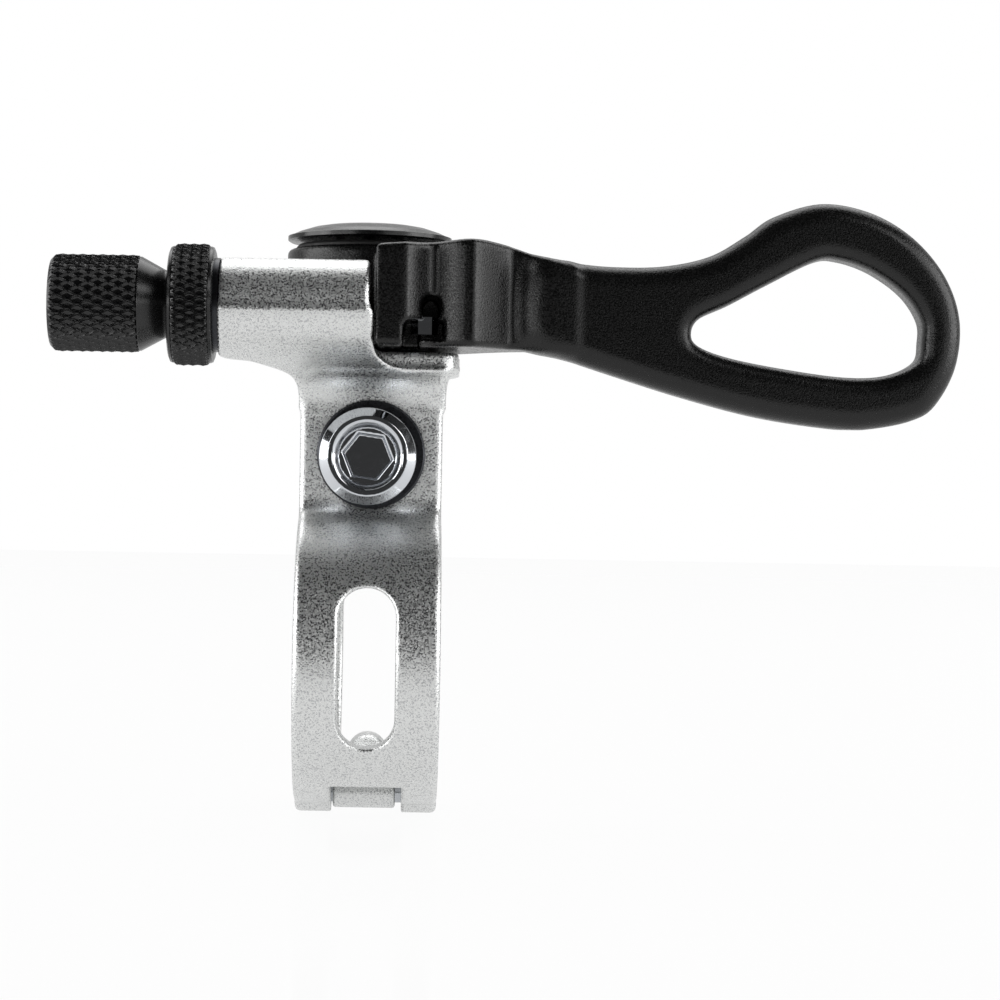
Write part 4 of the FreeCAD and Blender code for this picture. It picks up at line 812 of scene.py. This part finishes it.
class CastingSizes(bpy.types.PropertyGroup):
    """Sizes of the clamp's castings and its bolt in millimetres."""
    bore: size("Bore radius", "Radius of the handlebar", 11.1)
    wall: size("Wall", "Wall of the ring", 3.5)
    clamp_width: size("Clamp width", "Along the bar", 14.1)
    edge: size("Edge rounding", "Rounding of the ring's edges", 0.6)
    split: size("Split face", "Y where the front half ends", 2.9)
    strap_face: size("Strap face", "Y where the back half starts", 4.1)
    pad_front: size("Pad front", "Pad ahead of the bar's centre", 3.0)
    slot_half: size("Slot half width", "Half width of both windows", 2.76)
    slot_middle: size("Slot middle", "Z of the slot's middle", -0.425)
    slot_reach: size("Slot reach", "From its middle to its end arcs", 4.95)
    hinge: size("Hinge drop", "Hinge pin below the bar's centre", 13.5)
    knuckle: size("Knuckle radius", "Outer knuckles", 1.95)
    mid_knuckle: size("Middle knuckle", "Radius of the strap's", 1.55)
    plate_low: size("Plate underside", "Z of the plate", 28.4)
    plate_thickness: size("Plate thickness", "Pivot plate", 1.9)
    plate_radius: size("Plate radius", "Round the pivot", 9.35)
    apron_front: size("Apron front", "Plate ahead of the bar", 5.0)
    apron_right: size("Apron right", "Right end of the plate's front", 8.5)
    pivot_x: size("Pivot X", "X of the pivot", -0.6)
    pivot_y: size("Pivot Y", "Y of the pivot", 7.4)
    cable_front: size("Cable front", "Cable ahead of the bar", 6.0)
    cable_z: size("Cable height", "Z of the cable", 34.48)
    tube_radius: size("Tube radius", "Cable tube", 4.65)
    tube_left: size("Tube left", "X of the tube's left end", -14.95)
    tube_right: size("Tube right", "X of the tube's right end", -0.35)
    washer_z: size("Washer height", "Z of the washer's centre", 20.2)
    bolt_x: size("Bolt X", "X of the clamp bolt", -0.3)
    bolt_z: size("Bolt Z", "Z of the clamp bolt", 19.95)
    boss_radius: size("Boss radius", "Boss under the plate", 3.9)
    gap_left: size("Knuckle gap left", "Its reach to the left", 3.4)
    gap_right: size("Knuckle gap right", "Its reach to the right", 3.55)
    gap_top: size("Knuckle gap top", "Its top below the bar's centre", 11.6)
    bolt_hole: size("Bolt hole", "Radius in the pad", 3.6)
    seat_bore: size("Adjuster bore", "Radius in the tube", 2.56)
    seat_depth: size("Adjuster bore depth", "From the tube's left end", 11.0)
    cable_bore: size("Cable bore", "Radius behind the adjuster", 1.2)
    pivot_hole: size("Pivot hole", "Radius in the plate", 2.06)
    spring_hole: size("Spring hole", "Radius for the spring's leg", 0.45)
    spring_hole_x: size("Spring hole X", "To the right of the pivot", 6.75)
    pin_hole: size("Pin hole", "Radius in the outer knuckles", 1.0)
    strap_pin_hole: size("Strap pin hole", "Radius in the middle knuckle", 1.06)
    mid_left: size("Middle knuckle left", "Its reach to the left", 3.25)
    mid_right: size("Middle knuckle right", "Its reach to the right", 2.95)
    window_foot: size("Window foot", "Its lower edge below the bar's centre", 9.85)
    tab_drop: size("Tab drop", "Centre of the tab's dome below the bar's centre", 10.5)
    tab_radius: size("Tab radius", "Dome of the tab at the window's foot", 2.1)
    tapped_hole: size("Tapped hole", "Radius in the ear", 3.46)
    ear_thickness: size("Ear thickness", "Tapped ear", 4.5)
    ear_radius: size("Ear radius", "Round the clamp bolt", 4.6)
    head_radius: size("Head radius", "Bolt head", 4.75)
    head_height: size("Head height", "Bolt head", 4.0)
    bevel_start: size("Bevel start", "Radius where the head's bevel starts", 3.9)
    shank_radius: size("Shank radius", "Bolt shank", 3.0)
    step_radius: size("Socket step", "Radius of the step round the socket", 2.85)
    socket_depth: size("Socket depth", "Bottom of the socket", 2.8)
    bolt_step: size("Bolt mesh step", "Distance between its mesh points", 0.1)
    hexagon_width: size("Socket width", "Across its flats", 4.1)
    hexagon_turn: angle("Socket turn", "Turn of the socket", 8.0)
    mesh_step: size("Mesh step", "Distance between mesh points", 0.27)


def field_piece(name, field, node, body, slot, step):
    """Meshes a field inside its CAD node's box and hands the piece over."""
    low, high = corner(node, 0), corner(node, 1)
    points, faces = surface(field, low, high, step * (1))
    if len(faces) == 0:
        raise RuntimeError(name + " has an empty surface")
    mesh = mesh_of(name, np.clip(points, low, high), faces)
    finish_piece(name, mesh, body, slot, node)


class DRESS_OT_castings(bpy.types.Operator):
    """Models the silver clamp castings and the clamp bolt"""
    bl_idname = "dress.castings"
    bl_label = "Clamp castings and bolt"

    def execute(self, context):
        s = context.scene.casting_sizes
        front, end = corner("clamp_bolt", 0)[1], corner("clamp_bolt", 1)[1]
        for name, field, node, body, slot, step in (
                ("clamp_housing_casting", housing_field(s), "housing", "mount", "silver_casting",
                 s.mesh_step),
                ("clamp_strap_casting", strap_field(s), "clamp_strap", "strap", "silver_casting",
                 s.mesh_step),
                ("clamp_screw_bolt", bolt_field(s, front, end), "clamp_bolt", "bolt", "polished_steel",
                 round(s.bolt_step, 3))):
            field_piece(name, field, node, body, slot, step)
        return {"FINISHED"}


# Knurled barrel adjuster and lock nut

def knurl_cell(name, width, length, depth, across=10, along=12):
    """One unit of the knurl, laid flat: thin ridges round two lens-shaped hollows."""
    points = []
    for i in range(along + 1):
        for j in range(across + 1):
            u = i / along
            v = j / across
            one = abs(((u + v) % 1.0) - 0.5) * 2
            two = abs(((u - v) % 1.0) - 0.5) * 2
            hollow = min(1 - one, 1 - two)
            sink = -depth * min(1.0, hollow * 2.6) ** 0.9
            points.append((u * length, v * width, sink))
    faces = [(i * (across + 1) + j, (i + 1) * (across + 1) + j,
              (i + 1) * (across + 1) + j + 1, i * (across + 1) + j + 1)
             for i in range(along) for j in range(across)]
    mesh = bpy.data.meshes.new(name)
    mesh.from_pydata(points, [], faces)
    cell = bpy.data.objects.new(name, mesh)
    bpy.context.scene.collection.objects.link(cell)
    return cell


def knurl_tree():
    """Repeats a flat cell over a band, bends the band round X, and cuts it to bevelled ends."""
    tree = bpy.data.node_groups.new("Knurled band", "GeometryNodeTree")
    kinds = {"Geometry": "Geometry", "Cell": "Object", "Around": "Int", "Along": "Int",
             "Material": "Material"}
    for name in ("Geometry", "Cell", "Around", "Along", "Cell length", "Cell width", "Band length",
                 "Radius", "Left bevel", "Right bevel", "Shift", "Material"):
        tree.interface.new_socket(name, in_out="INPUT", socket_type="NodeSocket" + kinds.get(name, "Float"))
    tree.interface.new_socket("Geometry", in_out="OUTPUT", socket_type="NodeSocketGeometry")
    given = add(tree, "NodeGroupInput").outputs

    def sums(operation, a, b=None):
        return math_node(tree, operation, a, b)

    def spread(count, spacing):
        return sums("MULTIPLY", sums("SUBTRACT", count, 1.0), spacing)

    points = add(tree, "GeometryNodeMeshGrid",
                 Size_X=spread(given["Along"], given["Cell length"]),
                 Size_Y=spread(given["Around"], given["Cell width"]),
                 Vertices_X=given["Along"], Vertices_Y=given["Around"])
    cell = add(tree, "GeometryNodeObjectInfo", Object=given["Cell"])
    copies = add(tree, "GeometryNodeInstanceOnPoints", Points=points.outputs["Mesh"],
                 Instance=cell.outputs["Geometry"])
    flat = add(tree, "GeometryNodeRealizeInstances", Geometry=copies.outputs[0])
    position = add(tree, "GeometryNodeInputPosition").outputs[0]
    spot = add(tree, "ShaderNodeSeparateXYZ", Vector=position).outputs
    run = sums("ADD", spot[0], sums("MULTIPLY", spread(given["Along"], given["Cell length"]), 0.5))
    run = sums("SUBTRACT", run, given["Shift"])
    run = sums("MINIMUM", sums("MAXIMUM", run, 0.0), given["Band length"])
    girth = sums("MULTIPLY", given["Cell width"], given["Around"])
    turn = sums("MULTIPLY", sums("DIVIDE", spot[1], girth), TAU)
    crest = sums("ADD", given["Radius"], spot[2])
    left = sums("ADD", sums("SUBTRACT", given["Radius"], given["Left bevel"]), run)
    right = sums("ADD", sums("SUBTRACT", given["Radius"], given["Right bevel"]),
                 sums("SUBTRACT", given["Band length"], run))
    rim = sums("MINIMUM", crest, sums("MINIMUM", left, right))
    bent = add(tree, "ShaderNodeCombineXYZ", X=run,
               Y=sums("MULTIPLY", rim, sums("COSINE", turn)), Z=sums("MULTIPLY", rim, sums("SINE", turn)))
    wrapped = add(tree, "GeometryNodeSetPosition", Geometry=flat.outputs[0], Position=bent.outputs[0])
    joined = add(tree, "GeometryNodeMergeByDistance", Geometry=wrapped.outputs[0], Distance=0.002)
    real = add(tree, "GeometryNodeRealizeInstances", Geometry=joined.outputs[0])
    dressed = add(tree, "GeometryNodeSetMaterial", Geometry=real.outputs[0], Material=given["Material"])
    add(tree, "NodeGroupOutput", i0=dressed.outputs[0])
    return tree


def knurled_band(name, values):
    """Runs the knurl tree and gives its mesh, in millimetres and starting at X = 0."""
    tree = bpy.data.node_groups.get("Knurled band") or knurl_tree()
    carrier = bpy.data.objects.new(name, bpy.data.meshes.new(name))
    bpy.context.scene.collection.objects.link(carrier)
    modifier = carrier.modifiers.new("knurl", "NODES")
    modifier.node_group = tree
    for item in tree.interface.items_tree:
        if item.item_type == "SOCKET" and item.in_out == "INPUT" and item.name in values:
            modifier[item.identifier] = values[item.name]
    graph = bpy.context.evaluated_depsgraph_get()
    mesh = bpy.data.meshes.new_from_object(carrier.evaluated_get(graph))
    carrier.modifiers.remove(modifier)
    bpy.data.objects.remove(carrier)
    return mesh


def close_turning(mesh, profile, place):
    """Carries the band's right end along a turned profile and round to its left end."""
    work = bmesh.new()
    work.from_mesh(mesh)
    far = max(v.co.x for v in work.verts)
    # The cells that the cut pushed flat into an end plane go, so that one clean ring is left there
    flat = [f for f in work.faces
            if min(v.co.x for v in f.verts) > far - 1e-4 or max(v.co.x for v in f.verts) < 1e-4]
    bmesh.ops.delete(work, geom=flat, context="FACES")
    loop = [e for e in work.edges if e.is_boundary and min(v.co.x for v in e.verts) > far - 0.01]
    for x, radius in profile:
        made = bmesh.ops.extrude_edge_only(work, edges=loop)["geom"]
        loop = [e for e in made if isinstance(e, bmesh.types.BMEdge)]
        for vert in {v for e in loop for v in e.verts}:
            turn = math.atan2(vert.co.z, vert.co.y)
            vert.co = (x, radius * math.cos(turn), radius * math.sin(turn))
        loop = [e for e in loop if all(abs(v.co.x - x) < 1e-5 for v in e.verts)]
    bmesh.ops.remove_doubles(work, verts=work.verts, dist=0.003)
    bmesh.ops.dissolve_degenerate(work, dist=0.0005, edges=work.edges)
    bmesh.ops.recalc_face_normals(work, faces=work.faces)
    for vert in work.verts:
        vert.co = (vert.co + Vector(place)) * MM
    for face in work.faces:
        face.smooth = True
    for edge in work.edges:
        edge.smooth = edge.calc_face_angle(0.0) < CREASE
    work.to_mesh(mesh)
    work.free()


def knurled_piece(name, radius, length, bevels, cells, depth, shift, profile, place, node, body):
    """One knurled turned piece, with its band at X = 0 to length."""
    around, along, cell_length = cells
    width = TAU * radius / around
    cell = knurl_cell(name + "_cell", width, cell_length, depth)
    mesh = knurled_band(name, {
        "Cell": cell, "Around": around, "Along": along, "Cell length": cell_length, "Cell width": width,
        "Band length": length, "Radius": radius, "Left bevel": bevels[0], "Right bevel": bevels[1],
        "Shift": shift, "Material": finish("black_anodised"),
    })
    bpy.data.objects.remove(cell)
    close_turning(mesh, profile, place)
    finish_piece(name, mesh, body, "black_anodised", node)


class AdjusterSizes(bpy.types.PropertyGroup):
    """Sizes of the knurled barrel adjuster and its lock nut."""
    barrel_radius: size("Barrel radius", "Over the knurl", 4.78)
    barrel_length: size("Barrel length", "Knurled length", 8.55)
    barrel_bevel: size("Barrel bevel", "Bevel of its left end", 0.5)
    cone_length: size("Cone length", "Smooth cone", 3.0)
    cone_radius: size("Cone radius", "Small end of the cone", 3.3)
    shank_radius: size("Shank radius", "Shank in the tube", 2.5)
    shank_length: size("Shank length", "Shank in the tube", 11.0)
    seat_bore: size("Housing seat", "Radius of the seat for the cable housing", 2.6)
    seat_depth: size("Seat depth", "Depth of the seat for the cable housing", 7.5)
    cable_bore: size("Cable bore", "Radius of the hole for the cable", 1.2)
    nut_radius: size("Nut radius", "Over the knurl", 6.03)
    nut_width: size("Nut width", "Width of the lock nut", 4.4)
    nut_bevel: size("Nut bevel", "Bevel at both ends of the nut", 0.75)
    nut_edge: size("Nut edge", "Smooth edge beside its knurl", 0.42)
    nut_bore: size("Nut bore", "Radius of its hole", 2.56)
    knurl_depth: size("Knurl depth", "Depth of the hollows", 0.3)
    cell_length: size("Cell length", "Length of one unit of the knurl", 1.95)
    barrel_cells: IntProperty(name="Barrel cells", description="Knurl cells round the barrel", default=32)
    nut_cells: IntProperty(name="Nut cells", description="Knurl cells round the nut", default=44)


def middle_of(node):
    """Y and Z of a node's middle, and X of its left end, in millimetres."""
    low, high = corner(node, 0), corner(node, 1)
    return (low[1] + high[1]) / 2, (low[2] + high[2]) / 2, low[0]


class DRESS_OT_adjuster(bpy.types.Operator):
    """Models the knurled barrel adjuster and its lock nut"""
    bl_idname = "dress.adjuster"
    bl_label = "Adjuster and lock nut"

    def execute(self, context):
        s = context.scene.adjuster_sizes
        y, z, left = middle_of("barrel_adjuster")
        knurl, barrel = s.barrel_length, s.barrel_radius
        full = knurl + s.cone_length
        far = full + s.shank_length
        chamfer = 0.3
        knurled_piece(
            "knurled_adjuster", barrel, knurl, (s.barrel_bevel, 0.12),
            (s.barrel_cells, 6, s.cell_length), s.knurl_depth, 0.9, [
                (knurl + 0.08, barrel - 0.32),
                (knurl + 0.12, barrel - 0.2),
                (knurl + 0.2, barrel - 0.17),
                (knurl + 0.3, barrel - 0.22),
                (full - 0.6, s.cone_radius + 0.12),
                (full - 0.5, s.cone_radius + 0.066),
                (full - 0.35, s.cone_radius + 0.01),
                (full - 0.05, s.cone_radius),
                (full, s.cone_radius - 0.05),
                (full, s.shank_radius),
                (far - 0.4, s.shank_radius),
                (far, s.shank_radius - 0.4),
                (far, s.cable_bore),
                (s.seat_depth + 0.9, s.cable_bore),
                (s.seat_depth, s.seat_bore),
                (chamfer, s.seat_bore),
                (0.0, s.seat_bore + chamfer),
                (0.0, barrel - s.barrel_bevel),
            ], (left, y, z), "barrel_adjuster", "adjuster")
        left = middle_of("lock_nut")[2]
        edge, rim, bore = s.nut_edge, s.nut_radius, s.nut_bore
        knurled = s.nut_width - 2 * edge
        fall = 0.34
        side = [(0.04, rim - 0.33), (0.28, rim - 0.42), (edge, rim - s.nut_bevel), (edge, bore + chamfer),
                (edge - chamfer, bore)]
        knurled_piece(
            "knurled_lock_nut", rim - 0.06, knurled, (fall, fall),
            (s.nut_cells, 3, s.cell_length - 0.05), s.knurl_depth * 1.1, 0.95,
            [(knurled + x, radius) for x, radius in side]
            + [(-x, radius) for x, radius in reversed(side)] + [(0.0, rim - 0.06 - fall)],
            (left + edge, y, z), "lock_nut", "nut")
        return {"FINISHED"}


# CAD nodes that keep their shape

KEPT_NODES = {
    "black_anodised": ["pivot_cap"],
    "polished_steel": ["cable_clamp_screw"],
    "black_steel": ["clamp_washer", "lock_washer", "pivot_bolt"],
    "bearing_steel": ["hinge_pin", "thrust_washer", "inner_race_lower", "inner_spacer", "inner_race_upper",
                      "outer_race_lower", "outer_race_upper", "outer_spacer", "balls_lower", "balls_upper",
                      "return_spring"],
    "seal_rubber": ["dust_seal"],
}


class DRESS_OT_kept_parts(bpy.types.Operator):
    """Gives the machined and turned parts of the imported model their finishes"""
    bl_idname = "dress.kept_parts"
    bl_label = "Finishes of the kept parts"

    def execute(self, context):
        for slot, names in KEPT_NODES.items():
            for name in names:
                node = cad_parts[name]
                node.data.materials.clear()
                node.data.materials.append(finish(slot))
        return {"FINISHED"}


# Floor, backdrop, lights and camera, with the stage's places in metres

WHITE = (1, 1, 1, 1)
LIGHT_TARGET = (0.01, 0, 0.015)
STAGE_WIDTH = 6
FLOOR_START = -0.35
BACKDROP_Y = 1.2


def seen_by_camera(tree):
    """1 for what the camera sees straight away or through something clear, and the paths of the light."""
    path = add(tree, "ShaderNodeLightPath").outputs
    return math_node(tree, "MAXIMUM", path["Is Camera Ray"], path["Is Transmission Ray"]), path


def pale_paper(name, to_camera, to_metal):
    """White seamless paper: its glow towards the camera and towards mirroring metal, over its own shade."""
    material, tree, shader = new_material(name)[:3]
    shader.inputs["Base Color"].default_value = linear("#F4F4F4")
    shader.inputs["Roughness"].default_value = 0.1
    seen, path = seen_by_camera(tree)
    share = math_node(tree, "MAXIMUM", math_node(tree, "MULTIPLY", seen, to_camera),
                      math_node(tree, "MULTIPLY", path["Is Glossy Ray"], to_metal))
    glow = add(tree, "ShaderNodeEmission", Color=WHITE, Strength=1.0)
    mixed = add(tree, "ShaderNodeMixShader", i0=share, i1=shader.outputs[0], i2=glow.outputs[0])
    exit_node = next(n for n in tree.nodes if n.type == "OUTPUT_MATERIAL")
    tree.links.new(mixed.outputs[0], exit_node.inputs["Surface"])
    return material


def flat_sheet(name, corners, material):
    """One flat stage piece from four corners in metres."""
    mesh = bpy.data.meshes.new(name)
    mesh.from_pydata(corners, [], [(0, 1, 2, 3)])
    sheet = bpy.data.objects.new(name, mesh)
    bpy.context.scene.collection.objects.link(sheet)
    mesh.materials.append(material)


def soft_box(name, place, size_x, size_y, strength):
    """A soft light that faces the part; its strength is its brightness where 1 is white."""
    lamp = bpy.data.lights.new(name, "AREA")
    lamp.shape = "RECTANGLE"
    lamp.size, lamp.size_y = size_x, size_y
    lamp.energy = strength * math.pi * size_x * size_y
    holder = bpy.data.objects.new(name, lamp)
    holder.location = place
    holder.rotation_mode = "QUATERNION"
    holder.rotation_quaternion = (Vector(LIGHT_TARGET) - Vector(place)).to_track_quat("-Z", "Y")
    bpy.context.scene.collection.objects.link(holder)


def studio_room(dimness):
    """A world that is white to the camera and dim to everything else."""
    world = bpy.data.worlds.new("studio room")
    world.use_nodes = True
    tree = world.node_tree
    tree.nodes.clear()
    dim = add(tree, "ShaderNodeBackground", Color=WHITE, Strength=dimness)
    white = add(tree, "ShaderNodeBackground", Color=WHITE, Strength=1.0)
    both = add(tree, "ShaderNodeMixShader", i0=seen_by_camera(tree)[0],
               i1=dim.outputs[0], i2=white.outputs[0])
    add(tree, "ShaderNodeOutputWorld", Surface=both.outputs[0])
    return world


def front_camera(s):
    """The camera of the photo: level, in front of the part and a little rolled."""
    lens = bpy.data.cameras.new("camera")
    lens.sensor_width = 36
    lens.lens = s.lens
    lens.shift_x = s.shift
    lens.clip_start = 0.01
    lens.clip_end = 20
    camera = bpy.data.objects.new("camera", lens)
    turn, lift = math.cos(s.roll), math.sin(s.roll)
    axes = Matrix(((turn, -lift, 0), (0, 0, -1), (lift, turn, 0)))
    camera.matrix_world = Matrix.Translation(
        (s.camera_x * MM, -s.distance * MM, s.camera_z * MM)) @ axes.to_4x4()
    bpy.context.scene.collection.objects.link(camera)
    return camera


class StageSizes(bpy.types.PropertyGroup):
    """Camera and light of the stage."""
    camera_x: size("Camera X", "Place of the camera", 2.94)
    camera_z: size("Camera Z", "Place of the camera", 15.75)
    distance: size("Distance", "From the camera to the bar's centre", 265.0)
    lens: FloatProperty(name="Lens", description="Focal length", default=95.4, unit="CAMERA")
    shift: number("Lens shift", "Share of the frame's width", 0.1)
    roll: angle("Roll", "Roll of the camera", 1.0)
    side_light: number("Side lights", "Brightness, where 1 is white", 3.6)
    top_light: number("Top light", "Brightness, where 1 is white", 1.9)
    front_light: number("Front sheets", "Brightness of the low sheets, where 1 is white", 3.4)
    room: number("Room", "Brightness of the dim room", 0.05)


class DRESS_OT_stage(bpy.types.Operator):
    """Sets the pale floor, the backdrop, the soft lights and the camera"""
    bl_idname = "dress.stage"
    bl_label = "Stage"

    def execute(self, context):
        s = context.scene.stage_sizes
        floor_z = cad_box[0].z - 0.02 * MM
        wide = STAGE_WIDTH / 2
        # The floor ends just behind the camera, so that flats facing the camera mirror the dim room
        flat_sheet("floor", [(-wide, FLOOR_START, floor_z), (wide, FLOOR_START, floor_z),
                             (wide, wide, floor_z), (-wide, wide, floor_z)],
                   pale_paper("white_floor_paper", 0.93, 0.74))
        flat_sheet("backdrop", [(-wide, BACKDROP_Y, -1), (wide, BACKDROP_Y, -1),
                                (wide, BACKDROP_Y, wide), (-wide, BACKDROP_Y, wide)],
                   pale_paper("white_backdrop_paper", 1.0, 0.6))
        soft_box("left_softbox", (-0.60, -0.10, 0.22), 0.5, 0.5, s.side_light)
        soft_box("right_softbox", (0.62, -0.12, 0.22), 0.5, 0.5, s.side_light)
        # Two low sheets leave a dark gap behind the camera, which the polished flats mirror
        soft_box("front_left_sheet", (-1.00, -1.0, 0.10), 1.3, 0.22, s.front_light)
        soft_box("front_right_sheet", (1.00, -1.0, 0.10), 1.3, 0.22, s.front_light * 0.6)
        soft_box("upper_right_softbox", (0.45, -0.50, 0.45), 0.25, 0.25, s.side_light * 0.8)
        soft_box("top_softbox", (0.0, 0.30, 0.60), 0.9, 0.5, s.top_light)
        context.scene.world = studio_room(s.room)
        context.scene.camera = front_camera(s)
        context.scene.view_settings.view_transform = "Standard"
        return {"FINISHED"}


class DRESS_PT_panel(bpy.types.Panel):
    """Lists the pieces in the sidebar"""
    bl_label = "Remote lever"
    bl_space_type = "VIEW_3D"
    bl_region_type = "UI"
    bl_category = "Remote lever"

    def draw(self, context):
        for operator in OPERATORS:
            self.layout.operator(operator.bl_idname)
        for name in GROUPS:
            group = getattr(context.scene, name)
            rows = self.layout.box()
            for key in group.__annotations__:
                rows.prop(group, key)


OPERATORS = (DRESS_OT_stage, DRESS_OT_lever, DRESS_OT_castings, DRESS_OT_adjuster, DRESS_OT_kept_parts)
GROUPS = {"finish_colours": FinishColours, "lever_sizes": LeverSizes, "casting_sizes": CastingSizes,
          "adjuster_sizes": AdjusterSizes, "stage_sizes": StageSizes}


def register():
    """Makes the classes and the property groups known"""
    for group in GROUPS.values():
        bpy.utils.register_class(group)
    for operator in OPERATORS:
        bpy.utils.register_class(operator)
    bpy.utils.register_class(DRESS_PT_panel)
    for name, group in GROUPS.items():
        setattr(bpy.types.Scene, name, PointerProperty(type=group))


def unregister():
    """Takes the classes and the property groups out again"""
    for name in GROUPS:
        delattr(bpy.types.Scene, name)
    bpy.utils.unregister_class(DRESS_PT_panel)
    for kind in list(OPERATORS) + list(GROUPS.values()):
        bpy.utils.unregister_class(kind)


def main():
    """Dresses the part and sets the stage"""
    register()
    bpy.ops.dress.stage()
    bpy.ops.dress.lever()
    bpy.ops.dress.castings()
    bpy.ops.dress.adjuster()
    bpy.ops.dress.kept_parts()


if __name__ == "__main__":
    main()
